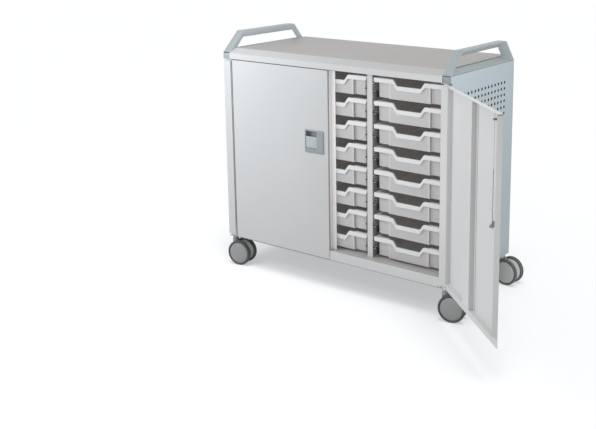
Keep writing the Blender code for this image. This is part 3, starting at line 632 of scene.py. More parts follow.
def dip_share(x):
    """How far the front rim is lowered at a place along it, 0 to 1, with soft bends."""
    ramp = (TRAY_DIP_OUTER - abs(x)) / (TRAY_DIP_OUTER - TRAY_DIP_INNER)
    ramp = min(max(ramp, 0.0), 1.0)
    return DIP_STRAIGHTNESS * ramp + (1 - DIP_STRAIGHTNESS) * ease(ramp)


def panel_step(step):
    """The step beside the middle of the front: a rise and a rounded corner, as (across, rise) points."""
    points = [(0.0, 0.0)]
    round_rise = min(STEP_ROUND, step)
    for sample in range(STEP_SAMPLES + 1):
        angle = math.pi / 2 * sample / STEP_SAMPLES
        across = STEP_LEAN + STEP_ROUND * (1 - math.cos(angle))
        points.append((across, step - round_rise * (1 - math.sin(angle))))
    return points


def tray_ring(rim, inset, height):
    """One ring of the tray. Height gives z for a place across it and its share of the front."""
    edge = (0.0 if rim else TRAY_RIM) + inset
    step = 0.0 if rim else TRAY_STEP
    half = TRAY_WIDTH / 2

    def plan(taper):
        """Points of the ring as (x, y, share of the front), with the walls drawn in by a taper."""
        front = (0.0 if rim else TRAY_FRONT_RIM) + inset + taper
        shoulder = front + step
        corner = TRAY_CORNER - CORNER_TIGHTENING * inset
        side = half - edge - taper - corner
        rear = TRAY_DEPTH - edge - taper - corner

        def bend(x, y, start):
            return arc((x, y), corner, start, start + 90, CORNER_STEPS)

        left_front = bend(-side, shoulder + corner, 180)
        right_front = bend(side, shoulder + corner, 270)
        rise = panel_step(step)
        inner = TRAY_PANEL_HALF - PAINTED_HIGHLIGHT_WIDTH
        points = [(x, y, 0.0) for x, y in bend(-side, rear, 90)]
        points += [(x, y, index / CORNER_STEPS) for index, (x, y) in enumerate(left_front)]
        points += [(across - TRAY_PANEL_HALF, shoulder - out, 1.0) for across, out in rise]
        for sample in range(PANEL_SAMPLES + 1):
            points.append((inner * (2 * sample / PANEL_SAMPLES - 1), front, 1.0))
        points += [(TRAY_PANEL_HALF - across, shoulder - out, 1.0) for across, out in reversed(rise)]
        points += [(x, y, 1 - index / CORNER_STEPS) for index, (x, y) in enumerate(right_front)]
        points += [(x, y, 0.0) for x, y in bend(side, rear, 0)]
        return points

    ring = []
    for (x, y, front), (tapered_x, tapered_y, _) in zip(plan(0.0), plan(TRAY_TAPER)):
        z = height(x, front)
        share = 0.0 if rim else 1 - z / TRAY_HEIGHT
        ring.append((x + (tapered_x - x) * share, y + (tapered_y - y) * share, z))
    return ring


def moulded_tray():
    """A tray shell with soft corners, a turned down rim and a dip to see in and pull by."""

    def level(value):
        return lambda x, front: value

    def top(drop):
        """Heights below the rim, which dips along the front."""
        def height(x, front):
            dip = TRAY_DIP_DEPTH * dip_share(x) if front == 1.0 else 0.0
            return TRAY_HEIGHT - drop - dip
        return height

    def lip(raise_by):
        """Heights above the lip's lower edge, which is deeper along the front."""
        def height(x, front):
            depth = TRAY_SIDE_LIP + (TRAY_FRONT_LIP - TRAY_SIDE_LIP) * ease(front)
            return top(depth - raise_by)(x, front)
        return height

    rings = [
        tray_ring(False, TRAY_FOOT_ROUND, level(0.0)),
        tray_ring(False, TRAY_FOOT_BEND_INSET, level(TRAY_FOOT_BEND_RISE)),
        tray_ring(False, 0.0, level(TRAY_FOOT_ROUND)),
        tray_ring(False, 0.0, top(TRAY_WALL)),
        tray_ring(True, TRAY_WALL, top(TRAY_WALL)),
        tray_ring(True, TRAY_WALL, lip(TRAY_EDGE_ROUND)),
        tray_ring(True, TRAY_WALL / 2, lip(0.0)),
        tray_ring(True, 0.0, lip(TRAY_EDGE_ROUND)),
        tray_ring(True, 0.0, top(TRAY_EDGE_ROUND)),
        tray_ring(True, TRAY_EDGE_ROUND, top(0.0)),
        tray_ring(False, TRAY_WALL - TRAY_EDGE_ROUND, top(0.0)),
        tray_ring(False, TRAY_WALL, top(TRAY_EDGE_ROUND)),
        tray_ring(False, TRAY_WALL, level(TRAY_WALL + TRAY_FOOT_ROUND)),
        tray_ring(False, TRAY_WALL + TRAY_FOOT_ROUND, level(TRAY_WALL)),
    ]
    data = bmesh.new()
    loft(data, rings[:4], cap_last=False, material=OUTSIDE)
    # Faces in a narrow band beside each step take the pale tone: painted highlight
    step_front = TRAY_FRONT_RIM + TRAY_STEP - STEP_ROUND
    for face in data.faces:
        middle = face.calc_center_median()
        if STEP_LEAN < TRAY_PANEL_HALF - abs(middle.x) < PAINTED_HIGHLIGHT_WIDTH and middle.y < step_front:
            face.material_index = PAINTED_HIGHLIGHT_EDGE
    loft(data, rings[3:11], cap_first=False, cap_last=False, material=RIM)
    loft(data, rings[10:], cap_first=False, material=INSIDE)
    bmesh.ops.remove_doubles(data, verts=data.verts, dist=WELD_DISTANCE)
    return finished_mesh("moulded_tray", data)


def place_trays():
    """Put a moulded tray on every tray body."""
    shape = moulded_tray()
    trays = []
    for node in NODES:
        if node.startswith("tray_"):
            piece = show_mesh("moulded_" + node, shape, node, TRAY_FINISHES, sharp=28.0)
            start = low_corner(node)
            piece.location = (start.x - TRAY_SPREAD + TRAY_WIDTH / 2, start.y, start.z)
            trays.append(piece)
    return trays


# Wheels: the stretches of their section are in millimetres, as (radius, along) points
WHEEL_RADIUS = 54 * MM
WHEEL_STEPS = 72
DISC_FACE = [(0.0, 12.4), (10.0, 12.1), (20.0, 11.3), (30.0, 9.9), (38.0, 8.2), (43.0, 6.8)]
TREAD_RING = [(44.2, 5.6), (45.2, 5.4), (45.8, 6.8), (48.0, 8.0), (50.6, 7.6), (52.8, 6.0), (53.8, 3.6)]
TREAD_RING += [(54.0, 0.0), (53.8, -4.0), (52.8, -7.0), (50.6, -9.2), (48.0, -10.2), (45.8, -9.6)]
WHEEL_BACK = [(45.0, -8.4), (43.6, -8.8), (30.0, -9.6)]
WHEEL_BOSS = [(12.0, -10.0), (10.4, -16.8)]
WHEEL_BORE = [(5.4, -16.8), (5.4, 7.6), (0.0, 7.6)]
# The disc, the dark tread and boss, and the pale back with painted light
WHEEL_FINISHES = ["discs", "treads", "wheel_backs_painted_light"]
DISC, TREAD, PAINTED_LIGHT_BACK = range(3)


def moulded_wheel():
    """A wheel with a domed disc, a soft tread, and on its inner side a pale back, painted light on that
    shaded side, and a dark boss.
    """
    stretches = [(DISC, DISC_FACE), (TREAD, TREAD_RING), (PAINTED_LIGHT_BACK, WHEEL_BACK), (TREAD, WHEEL_BOSS)]
    stretches.append((DISC, WHEEL_BORE))
    profile = [point for _, points in stretches for point in points]
    materials = [material for material, points in stretches for _ in points]
    data = bmesh.new()
    turned(data, in_metres(profile), WHEEL_STEPS, materials=materials)
    return finished_mesh("moulded_wheel", data)


def place_wheels():
    """Put a wheel on every wheel body, its domed side outward."""
    shape = moulded_wheel()
    for node in NODES:
        if node.endswith("_wheel"):
            piece = show_mesh("moulded_" + node, shape, node, WHEEL_FINISHES, sharp=30.0)
            axis = joint_axis(node)
            front = node.startswith("front")
            outer = "_outer_" in node
            outward = -axis if front == outer else axis
            piece.location = joint_place(node)
            piece.rotation_mode = "QUATERNION"
            piece.rotation_quaternion = outward.to_track_quat("Z", "Y")


# Caster forks: a flat horn with soft edges on a lighter swivel stem, both outlined in millimetres
ROUND_STEPS = 36
HORN_THICKNESS = 14 * MM
HORN_ROUND = 2.4 * MM
HORN_OUTLINE = [(-12, 110), (-12, 76), (22, 44), (42, 44), (44, 56), (41, 80), (12, 110)]
HORN_BENDS = [2, 9, 6, 6, 5, 14, 2]
CASTER_TRAIL = 32 * MM
AXLE_RADIUS = 4.5 * MM
AXLE_REACH = 33.2 * MM
STEM_PROFILE = [(0, 121.7), (11.4, 121.7), (12, 121.0), (12, 112.4), (11.2, 111.8), (11.2, 110.8)]
STEM_PROFILE += [(12, 110.2), (12, 97.5), (10.8, 96.2), (0, 96.2)]


def caster_fork():
    """A horn, its stem and the axle, about the swivel axis."""
    data = bmesh.new()
    outline = in_metres(rounded_ring(HORN_OUTLINE, HORN_BENDS, 5))
    half = HORN_THICKNESS / 2
    drawn_out(data, outline, "Y", -half, half, HORN_ROUND, steps=3)
    turned(data, in_metres(STEM_PROFILE), ROUND_STEPS, materials=[1] * len(STEM_PROFILE))
    across = Matrix.Translation((CASTER_TRAIL, 0.0, WHEEL_RADIUS)) @ Matrix.Rotation(math.pi / 2, 4, "X")
    axle = [(0.0, -AXLE_REACH), (AXLE_RADIUS, -AXLE_REACH), (AXLE_RADIUS, AXLE_REACH), (0.0, AXLE_REACH)]
    turned(data, axle, ROUND_STEPS, across, [2] * len(axle))
    return finished_mesh("caster_fork", data)


def place_forks():
    """Put a fork on every swivel, turned with its axle."""
    shape = caster_fork()
    for node in NODES:
        if node.endswith("_fork"):
            piece = show_mesh("moulded_" + node, shape, node, ["forks", "stems", "steel"], sharp=30.0)
            axle = joint_axis(node.replace("fork", "outer_wheel"))
            if axle.y < 0:
                axle.negate()
            stem = joint_place(node)
            piece.location = (stem.x, stem.y, 0.0)
            piece.rotation_euler.z = math.atan2(-axle.x, axle.y)


# Perforated end panels, each a thin sheet folded over the top of its channel
FOLD_RADIUS = 1.8 * MM
FOLD_STEPS = 4
HOLE_RADIUS = 5.7 * MM
HOLE_STEPS = 6
HOLE_COLUMNS = 14
HOLE_ROWS = 6
HOLE_COLUMN_PITCH = 26 * MM
HOLE_ROW_PITCH = 24.5 * MM
HOLE_TOP_MARGIN = 53.5 * MM
NOTCH_DEPTH = 13 * MM
PAINTED_SHADE_MARGIN = 6 * MM
ARM_ROOM = 4.6 * MM


def panel_path(outer, inner, heights, top):
    """The folded section of an end panel as (x, z) points, from its foot up and over."""
    turn = math.copysign(FOLD_RADIUS, inner - outer)
    path = [(outer, z) for z in heights]
    angles = [math.pi / 2 * step / FOLD_STEPS for step in range(FOLD_STEPS + 1)]
    for angle in angles:
        path.append((outer + turn * (1 - math.cos(angle)), top - FOLD_RADIUS * (1 - math.sin(angle))))
    for angle in angles:
        path.append((inner - turn * (1 - math.sin(angle)), top - FOLD_RADIUS * (1 - math.cos(angle))))
    path.append((inner, WORKTOP_BOTTOM))
    return path


def pierced_cell(data, corners):
    """Four faces between the corners of a cell and a round hole in its middle."""
    middle = sum((corner.co for corner in corners), Vector()) / 4
    count = 4 * HOLE_STEPS
    ring = []
    for step in range(count):
        angle = math.radians(225) + 2 * math.pi * step / count
        spoke = Vector((0, math.cos(angle), math.sin(angle)))
        ring.append(data.verts.new(middle + HOLE_RADIUS * spoke))
    for side in range(4):
        start = side * HOLE_STEPS
        inner = [ring[(start + step) % count] for step in range(HOLE_STEPS + 1)]
        data.faces.new([corners[side], corners[(side + 1) % 4], *reversed(inner)])


def end_panel(side_name):
    """An end panel with round holes and corners cut out for the door arms, and its caps; its hole walls and
    a sheet behind the holes are black, painted shade.
    """
    node = side_name + "_end_panel"
    low = low_corner(node) - CABINET
    high = high_corner(node) - CABINET
    outer, inner = (high.x, low.x) if side_name == "right" else (low.x, high.x)
    inward = math.copysign(1.0, inner - outer)
    column_start = DEPTH / 2 - HOLE_COLUMN_PITCH * HOLE_COLUMNS / 2
    row_end = WORKTOP_BOTTOM - HOLE_TOP_MARGIN + HOLE_ROW_PITCH / 2
    row_start = row_end - HOLE_ROWS * HOLE_ROW_PITCH
    columns = [low.y, NOTCH_DEPTH]
    columns += [column_start + index * HOLE_COLUMN_PITCH for index in range(HOLE_COLUMNS + 1)]
    columns.append(high.y)
    heights = [low.z, DOOR_BOTTOM + ARM_ROOM]
    heights += [row_start + index * HOLE_ROW_PITCH for index in range(HOLE_ROWS + 1)]
    heights += [DOOR_TOP - ARM_ROOM, WORKTOP_BOTTOM - GAP]
    path = panel_path(outer, inner, heights, high.z)
    pierced_columns = range(2, 2 + HOLE_COLUMNS)
    pierced_rows = range(2, 2 + HOLE_ROWS)
    cut_away = [(0, 0), (0, len(heights) - 2)]
    data = bmesh.new()
    grid = [[data.verts.new((x, y, z)) for y in columns] for x, z in path]
    for row, (lower, upper) in enumerate(zip(grid, grid[1:])):
        for column in range(len(columns) - 1):
            if (column, row) in cut_away:
                continue
            corners = [lower[column], lower[column + 1], upper[column + 1], upper[column]]
            if column in pierced_columns and row in pierced_rows:
                pierced_cell(data, corners)
            else:
                data.faces.new(corners)
    loose = [vert for vert in data.verts if not vert.link_faces]
    bmesh.ops.delete(data, geom=loose, context="VERTS")
    piece = add_piece(side_name + "_pierced_panel", data, node, ["ends", "black_painted_shade"])
    piece.data.shade_flat()
    # The sheet's cut edges and the walls of its holes take the black: painted shade
    sheet = piece.modifiers.new("Sheet", "SOLIDIFY")
    sheet.thickness = SHEET
    sheet.offset = -1.0
    sheet.material_offset_rim = 1

    caps = bmesh.new()
    for face, away in ((low.y, 1), (high.y, -1)):
        block(
            caps,
            (inner - inward * SHEET, face + away * GAP, WORKTOP_BOTTOM),
            (outer + inward * SHEET, face + away * (GAP + SHEET), high.z - SHEET),
            SMALL_ROUND,
        )
    add_piece(side_name + "_panel_caps", caps, node, ["caps"], stands_for=False)

    # A black sheet inside the channel, behind the holes: painted shade
    black_painted_shade = bmesh.new()
    block(
        black_painted_shade,
        (outer + inward * 2 * SHEET, column_start - PAINTED_SHADE_MARGIN, row_start - PAINTED_SHADE_MARGIN),
        (outer + inward * 3 * SHEET, DEPTH - column_start + PAINTED_SHADE_MARGIN, row_end + PAINTED_SHADE_MARGIN),
        SMALL_ROUND,
    )
    add_piece(side_name + "_panel_liner", black_painted_shade, node, ["black_painted_shade"], stands_for=False)


# Push handles: leaning loops whose opening widens to the outer side, with two dark lines painted as shade at
# their joints
HANDLE_LEAN_FRONT = 86 * MM
HANDLE_LEAN_REAR = 69 * MM
HANDLE_LEG = 48 * MM
HANDLE_BAR = 26 * MM
HANDLE_EDGE = 2 * MM
HANDLE_FOOT_EDGE = 6 * MM
HANDLE_STEPS = 8
HANDLE_ROUND = 0.8 * MM
HANDLE_GROOVE = 2.5 * MM
HANDLE_DROP = 1.6 * MM
HANDLE_SEAM = 2.2 * MM
LOOP_BENDS = [1 * MM, 1 * MM, 13 * MM, 13 * MM]
MOUTH_BENDS = [2 * MM, 2 * MM, 11 * MM, 11 * MM]
THROAT_BENDS = [3 * MM, 3 * MM, 7 * MM, 7 * MM]
TOP_LINE_OVERLAP = 2 * MM
TOP_LINE_DEPTH = 7 * MM
TOP_LINE_RISE = 1.2 * MM
TOP_LINE_REACH = (0.1 * MM, 2.0 * MM)
SEAM_INSET = 0.5 * MM
SEAM_LIFT = 0.1 * MM
SEAM_OVERLAP = 0.3 * MM
SEAM_REACH = (0.6 * MM, 0.5 * MM)


def push_handle(side_name):
    """A handle whose lower bar caps the end panel."""
    node = side_name + "_handle"
    low = low_corner(node) - CABINET
    high = high_corner(node) - CABINET
    outer, inner = (high.x, low.x) if side_name == "right" else (low.x, high.x)
    outward = math.copysign(1.0, outer - inner)
    front, rear, foot, crown = low.y, high.y, low.z + HANDLE_SEAM, high.z
    crown_front = front + HANDLE_LEAN_FRONT
    crown_rear = rear - HANDLE_LEAN_REAR
    bar = crown - HANDLE_BAR
    sill = WORKTOP_TOP - HANDLE_DROP
    lean = (bar - WORKTOP_TOP) / (crown - foot)
    loop = [(front, foot), (rear, foot), (crown_rear, crown), (crown_front, crown)]
    wide = [
        (front + HANDLE_FOOT_EDGE, foot + HANDLE_EDGE),
        (rear - HANDLE_FOOT_EDGE, foot + HANDLE_EDGE),
        (crown_rear - HANDLE_EDGE, crown - HANDLE_EDGE),
        (crown_front + HANDLE_EDGE, crown - HANDLE_EDGE),
    ]
    narrow = [
        (front + HANDLE_LEG, sill),
        (rear - HANDLE_LEG, sill),
        (rear - HANDLE_LEG - lean * HANDLE_LEAN_REAR, bar),
        (front + HANDLE_LEG + lean * HANDLE_LEAN_FRONT, bar),
    ]
    outside = rounded_ring(loop, LOOP_BENDS, HANDLE_STEPS)
    mouth = rounded_ring(wide, MOUTH_BENDS, HANDLE_STEPS)
    throat = rounded_ring(narrow, THROAT_BENDS, HANDLE_STEPS)
    groove = inner + outward * HANDLE_GROOVE
    rings = [(inner, outside), (outer, outside), (outer, mouth), (groove, throat)]
    data = bmesh.new()
    verts = loft(data, [[(x, *point) for point in ring] for x, ring in rings], closed=True)
    round_edges(data, verts, HANDLE_ROUND, angle=40.0)
    near, far = TOP_LINE_REACH
    # A dark strip where the handle meets the worktop: painted shade
    block(
        data,
        (inner + near * outward, front + HANDLE_LEG - TOP_LINE_OVERLAP, WORKTOP_TOP - TOP_LINE_DEPTH),
        (inner + far * outward, rear - HANDLE_LEG + TOP_LINE_OVERLAP, WORKTOP_TOP + TOP_LINE_RISE),
        SMALL_ROUND,
        1,
    )
    near, far = SEAM_REACH
    # A dark strip at the handle's foot, on the fold of the end panel: painted shade
    block(
        data,
        (inner + near * outward, front + SEAM_INSET, foot - HANDLE_SEAM + SEAM_LIFT),
        (outer - far * outward, rear - SEAM_INSET, foot + SEAM_OVERLAP),
        FINE_ROUND,
        1,
    )
    add_piece(side_name + "_push_handle", data, node, ["handles", "forks"])


# Paddle latch of the left door: the paddle's section is in millimetres, as (y, z) points
LATCH_BACK = -0.3 * MM
LATCH_CUP_WALL = 2 * MM
LATCH_MARGIN = 6 * MM
LATCH_FLAT = 34 * MM
LATCH_BEND_STEPS = 5
PADDLE_GAP = 0.35 * MM
PADDLE_LIFT = 0.2 * MM
PADDLE_ROUND = 0.7 * MM
PADDLE_FOOT = [(1.2, 0.0), (3.1, 0.8), (3.2, 2.0), (2.6, 4.0), (1.2, 6.0)]
PADDLE_REAR = [(0.8, 14.0), (0.6, 30.0), (0.4, 44.0)]
PADDLE_HEAD = [(-0.4, 47.6), (-1.6, 48.8), (-2.9, 48.4), (-3.6, 46.8)]
PADDLE_FACE = [(-3.5, 43.0), (-3.0, 36.0), (-2.7, 24.0), (-2.6, 10.0), (-2.2, 3.0), (-0.8, 0.4)]
PADDLE_PROFILE = PADDLE_FOOT + PADDLE_REAR + PADDLE_HEAD + PADDLE_FACE


def door_latch():
    """The latch plate with its cup, and the sprung paddle in it."""
    node = "left_latch_housing"
    low = low_corner(node) - CABINET
    high = high_corner(node) - CABINET
    mouth_low = (low.x + LATCH_MARGIN, low.z + 2 * LATCH_MARGIN)
    mouth_high = (high.x - LATCH_FLAT, high.z - LATCH_MARGIN)

    def ring(y, outline, insets, bend):
        """An outline at a depth, drawn in at its left, right, bottom and top, in millimetres."""
        (x_low, z_low), (x_high, z_high) = outline
        left, right, bottom, top = [inset * MM for inset in insets]
        start = (x_low + left, z_low + bottom)
        end = (x_high - right, z_high - top)
        return [(x, y * MM, z) for x, z in rounded_box(start, end, bend * MM, LATCH_BEND_STEPS)]

    plate = ((low.x, low.z), (high.x, high.z))
    mouth = (mouth_low, mouth_high)
    cup = [-LATCH_CUP_WALL / MM] * 4
    flush = (0, 0, 0, 0)
    rings = [
        ring(high.y / MM, mouth, cup, 3),
        ring(LATCH_BACK / MM, mouth, cup, 3),
        ring(LATCH_BACK / MM, plate, flush, 2.5),
        ring(-1.4, plate, flush, 2.5),
        ring(-2.0, plate, (0.2, 0.2, 0.5, 0.2), 2.4),
        ring(-3.8, plate, (2.2, 2.2, 9.5, 2.2), 2.2),
        ring(-4.3, plate, (3.0, 3.0, 10.6, 3.0), 2.0),
        ring(-4.3, mouth, (-1.4, -6.0, 4.6, -1.4), 3.4),
        ring(-3.9, mouth, (-0.5, -3.4, 5.4, -0.5), 3.1),
        ring(-3.0, mouth, (0, -0.2, 5.7, 0), 2.8),
        ring(-2.6, mouth, flush, 2.8),
        ring(13.0, mouth, flush, 2.6),
        ring(15.6, mouth, (2.4, 2.4, 2.4, 2.4), 2.4),
    ]
    data = bmesh.new()
    loft(data, rings)
    add_piece("latch_plate", data, node, ["latch_plate"], sharp=24.0)

    foot = low_corner("left_latch_paddle").z - GAP
    outline = [(y, foot + PADDLE_LIFT + z) for y, z in in_metres(PADDLE_PROFILE)]
    left = mouth_low[0] + PADDLE_GAP
    right = mouth_high[0] - PADDLE_GAP
    data = bmesh.new()
    drawn_out(data, outline, "X", left, right, PADDLE_ROUND, steps=3)
    add_piece("latch_flap", data, "left_latch_paddle", ["latch"], sharp=30.0)


# Rod lock and small fittings inside the right door: the barrel and the lever are outlined in millimetres
LOCK_X = 46.5 * MM
LOCK_Z = 530 * MM
LOCK_PROFILE = [(0, -0.5), (3.0, -0.5), (3.2, -1.3), (8.3, -1.3), (8.9, -0.8), (8.9, 4.2), (9.2, 4.2)]
LOCK_PROFILE += [(9.6, 4.6), (9.6, 6.8), (9.2, 7.2), (0, 7.2)]
KEYWAY_HALF_WIDTH = 0.7 * MM
KEYWAY_HALF_HEIGHT = 5 * MM
KEYWAY_FACE = -1.5 * MM
KEYWAY_FLOOR = -0.9 * MM
LEVER_OUTLINE = [(8, -5.5), (36, -3.6), (36, 3.6), (8, 5.5)]
LEVER_BENDS = [2 * MM, 3.4 * MM, 3.4 * MM, 2 * MM]
LEVER_TURN = math.radians(-32)
LEVER_FRONT = 4.5 * MM
LEVER_BACK = 6.9 * MM
LEVER_ROUND = 0.4 * MM
ROD_PLACE = 9.2 * MM
ROD_RADIUS = 1.1 * MM
ROD_POINT = 2 * MM
ROD_BARE_TOP = 710 * MM
GUIDE_BOTTOM = 864.5 * MM
GUIDE_TOP = 870.5 * MM
GUIDE_INNER = 2.0 * MM
GUIDE_OUTER = 3.4 * MM
GUIDE_BRIDGE = 12.6 * MM
GUIDE_REACH = 14 * MM
GUIDE_ROUND = 0.4 * MM
DOOR_SCREW = (2.6 * MM, 1.4 * MM)
DOOR_SCREW_X = 84 * MM
DOOR_SCREW_LEVELS = (568 * MM, 634 * MM)
SEAM_SHADE_LOW = (1.0 * MM, 0.4 * MM, DOOR_TOP - 6.0 * MM)
SEAM_SHADE_HIGH = (1.6 * MM, 19.2 * MM, DOOR_TOP - 3.6 * MM)
FINE_TURN_STEPS = 20
SCREW_SHAPE = [(1.0, 0.0), (1.0, 0.25), (0.93, 0.55), (0.75, 0.82), (0.45, 0.96), (0.0, 1.0)]


def facing_back(x, z, y=0.0):
    """A place whose local Z points from the front of the cabinet to its back."""
    return Matrix.Translation((x, y, z)) @ Matrix.Rotation(-math.pi / 2, 4, "X")


def screw_head(data, place, size, material=0):
    """A domed screw or rivet head, of a radius and a height, on the local XY plane of a place."""
    radius, height = size
    profile = [(0.0, -0.1 * height)] + [(radius * share, height * rise) for share, rise in SCREW_SHAPE]
    turned(data, profile, FINE_TURN_STEPS, place, [material] * len(profile))


def rod_lock():
    """The lock barrel with its keyway, and the lever on its inner end."""
    data = bmesh.new()
    turned(data, in_metres(LOCK_PROFILE), ROUND_STEPS, facing_back(LOCK_X, LOCK_Z))
    keyway_low = (LOCK_X - KEYWAY_HALF_WIDTH, KEYWAY_FACE, LOCK_Z - KEYWAY_HALF_HEIGHT)
    keyway_high = (LOCK_X + KEYWAY_HALF_WIDTH, KEYWAY_FLOOR, LOCK_Z + KEYWAY_HALF_HEIGHT)
    # A dark block in the keyway: painted shade
    block(data, keyway_low, keyway_high, material=1)
    along = Vector((math.cos(LEVER_TURN), math.sin(LEVER_TURN)))
    across = Vector((-along.y, along.x))
    centre = Vector((LOCK_X, LOCK_Z))
    corners = [centre + along * reach * MM + across * side * MM for reach, side in LEVER_OUTLINE]
    outline = rounded_ring(corners, LEVER_BENDS, 5)
    drawn_out(data, outline, "Y", LEVER_FRONT, LEVER_BACK, LEVER_ROUND)
    add_piece("lock_barrel", data, "lock_cam", ["lever", "treads"], sharp=30.0, place=AT_RIGHT_DOOR)


def lock_rod():
    """A thin rod, bare steel near the lock and painted above."""
    low = low_corner("upper_lock_rod").z
    high = high_corner("upper_lock_rod").z
    shaft = [(ROD_RADIUS, z) for z in (low, ROD_BARE_TOP, high - ROD_POINT)]
    data = bmesh.new()
    middle = Matrix.Translation((LOCK_X, ROD_PLACE, 0.0))
    turned(data, [(0.0, low), *shaft, (0.0, high)], FINE_TURN_STEPS, middle, [0, 0, 1, 1])
    return add_piece("lock_rod", data, "upper_lock_rod", ["lever", "carcass"], place=AT_RIGHT_DOOR)


def right_door_fittings():
    """The dark guide of the rod, two screws, and a dark strip at the top of the free edge, painted shade of
    the seam.
    """
    data = bmesh.new()
    for side in (-1, 1):
        near = (LOCK_X + side * GUIDE_INNER, SHEET, GUIDE_BOTTOM)
        block(data, near, (LOCK_X + side * GUIDE_OUTER, GUIDE_REACH, GUIDE_TOP), GUIDE_ROUND)
    bridge = (LOCK_X - GUIDE_OUTER, GUIDE_BRIDGE, GUIDE_BOTTOM)
    block(data, bridge, (LOCK_X + GUIDE_OUTER, GUIDE_REACH, GUIDE_TOP), GUIDE_ROUND)
    for z in DOOR_SCREW_LEVELS:
        screw_head(data, facing_back(DOOR_SCREW_X, z, SHEET), DOOR_SCREW, 1)
    # A dark strip at the top of the free edge: painted shade of the seam
    block(data, SEAM_SHADE_LOW, SEAM_SHADE_HIGH, material=2)
    finishes = ["lever", "rod", "painted_shade_line"]
    return add_piece(
        "rod_guide", data, "right_door", finishes, stands_for=False, place=AT_RIGHT_DOOR
    )


# Trim of the left door: a cover on its free edge, a strip with a bead, and dark strips painted as shade
# along its free edge, foot and hinge edge
DOOR_EDGE = -1.5 * MM
EDGE_SHADE_BACK = 8.5 * MM
STRIP_BOTTOM = 165.5 * MM
STRIP_TOP = DOOR_TOP - 2 * MM
SKIN_EDGE = 504 * MM
EDGE_SHADE_LOW = (DOOR_EDGE - 0.2 * MM, 0.6 * MM, STRIP_BOTTOM)
EDGE_SHADE_HIGH = (DOOR_EDGE + 0.6 * MM, EDGE_SHADE_BACK, STRIP_TOP)
FOOT_SHADE_LOW = (-SKIN_EDGE, 0.3 * MM, DOOR_BOTTOM - 1.2 * MM)
FOOT_SHADE_HIGH = (DOOR_EDGE - 2 * MM, 1.1 * MM, DOOR_BOTTOM)
COVER_LOW = (DOOR_EDGE + 0.1 * MM, EDGE_SHADE_BACK, STRIP_BOTTOM)
COVER_HIGH = (DOOR_EDGE + 0.6 * MM, 22.4 * MM, STRIP_TOP)
STRIP_LOW = (-2.6 * MM, 22.5 * MM, STRIP_BOTTOM)
STRIP_HIGH = (9.4 * MM, 26.4 * MM, STRIP_TOP)
HINGE_SHADE_LOW = (-SKIN_EDGE, -0.15 * MM, DOOR_BOTTOM + 2 * MM)
HINGE_SHADE_HIGH = (-SKIN_EDGE + 4 * MM, 0.3 * MM, STRIP_TOP)
BEAD_LOW = (9.6 * MM, 19.9 * MM)
BEAD_HIGH = (19.6 * MM, 24.1 * MM)
BEAD_ROUND = 1.8 * MM
EDGE_SHADE_ROUND = 0.25 * MM
STRIP_ROUND = 0.5 * MM


def meeting_strip():
    data = bmesh.new()
    # A dark strip along the free edge: painted shade of the gap beside the strip
    block(data, EDGE_SHADE_LOW, EDGE_SHADE_HIGH, EDGE_SHADE_ROUND)
    # A dark strip under the door's bottom edge: painted shade
    block(data, FOOT_SHADE_LOW, FOOT_SHADE_HIGH, FINE_ROUND)
    block(data, COVER_LOW, COVER_HIGH, FINE_ROUND, 1)
    block(data, STRIP_LOW, STRIP_HIGH, STRIP_ROUND, 1)
    # A dark strip at the hinge edge: painted shade of the hinge gap
    block(data, HINGE_SHADE_LOW, HINGE_SHADE_HIGH, material=2)
    bead = rounded_box(BEAD_LOW, BEAD_HIGH, BEAD_ROUND)
    drawn_out(data, bead, "Z", STRIP_BOTTOM, STRIP_TOP, SMALL_ROUND, 1)
    finishes = ["painted_shade_line", "bead", "treads"]
    return add_piece("meeting_strip", data, "left_door", finishes, stands_for=False, sharp=40.0)


# Small trim of the carcass
SILL_INSET = 2 * MM
SILL_FRONT = 0.4 * MM
SILL_BACK = 4 * MM
SILL_DROP = 1.8 * MM
NOTCH_BACK = NOTCH_DEPTH + 0.4 * MM
NOTCH_INSET = 1.5 * MM
NOTCH_FOOT_GAP = 2.4 * MM
NOTCH_TOP_GAP = 2.6 * MM
WORKTOP_FACE = 24 * MM
WORKTOP_BEVEL = 37 * MM
WORKTOP_INSET = 1.5 * MM
END_PLATE_NEAR = 1.6 * MM
END_PLATE_FAR = 0.2 * MM
RIVET = (3.6 * MM, 1.5 * MM)
RIVET_MARGIN = 16 * MM
RIVET_SPANS_ACROSS = 8
RIVET_SPANS_UP = 6


def sill_painted_shade():
    """A dark strip under the front edge of the base: painted shade."""
    data = bmesh.new()
    base = low_corner("base_pan") - CABINET
    half = INNER_HALF - SILL_INSET
    block(
        data,
        (-half, base.y + SILL_FRONT, base.z - SILL_DROP),
        (half, base.y + SILL_BACK, base.z),
        SMALL_ROUND,
    )
    add_piece("sill_painted_shade", data, "base_pan", ["painted_shade_line"], stands_for=False)


def notch_backs():
    """Plates behind the notches that the door arms turn in."""
    data = bmesh.new()
    foot = low_corner("right_side").z + NOTCH_FOOT_GAP
    levels = [(foot, DOOR_BOTTOM + ARM_ROOM), (DOOR_TOP - ARM_ROOM, WORKTOP_BOTTOM - NOTCH_TOP_GAP)]
    for side in SIDES.values():
        for low, high in levels:
            start = (side * (INNER_HALF + NOTCH_INSET), NOTCH_BACK, low)
            end = (side * (OUTER_HALF - NOTCH_INSET), NOTCH_BACK + SHEET, high)
            block(data, start, end, FINE_ROUND)
    add_piece("notch_backs", data, "right_side", ["carcass"], stands_for=False)


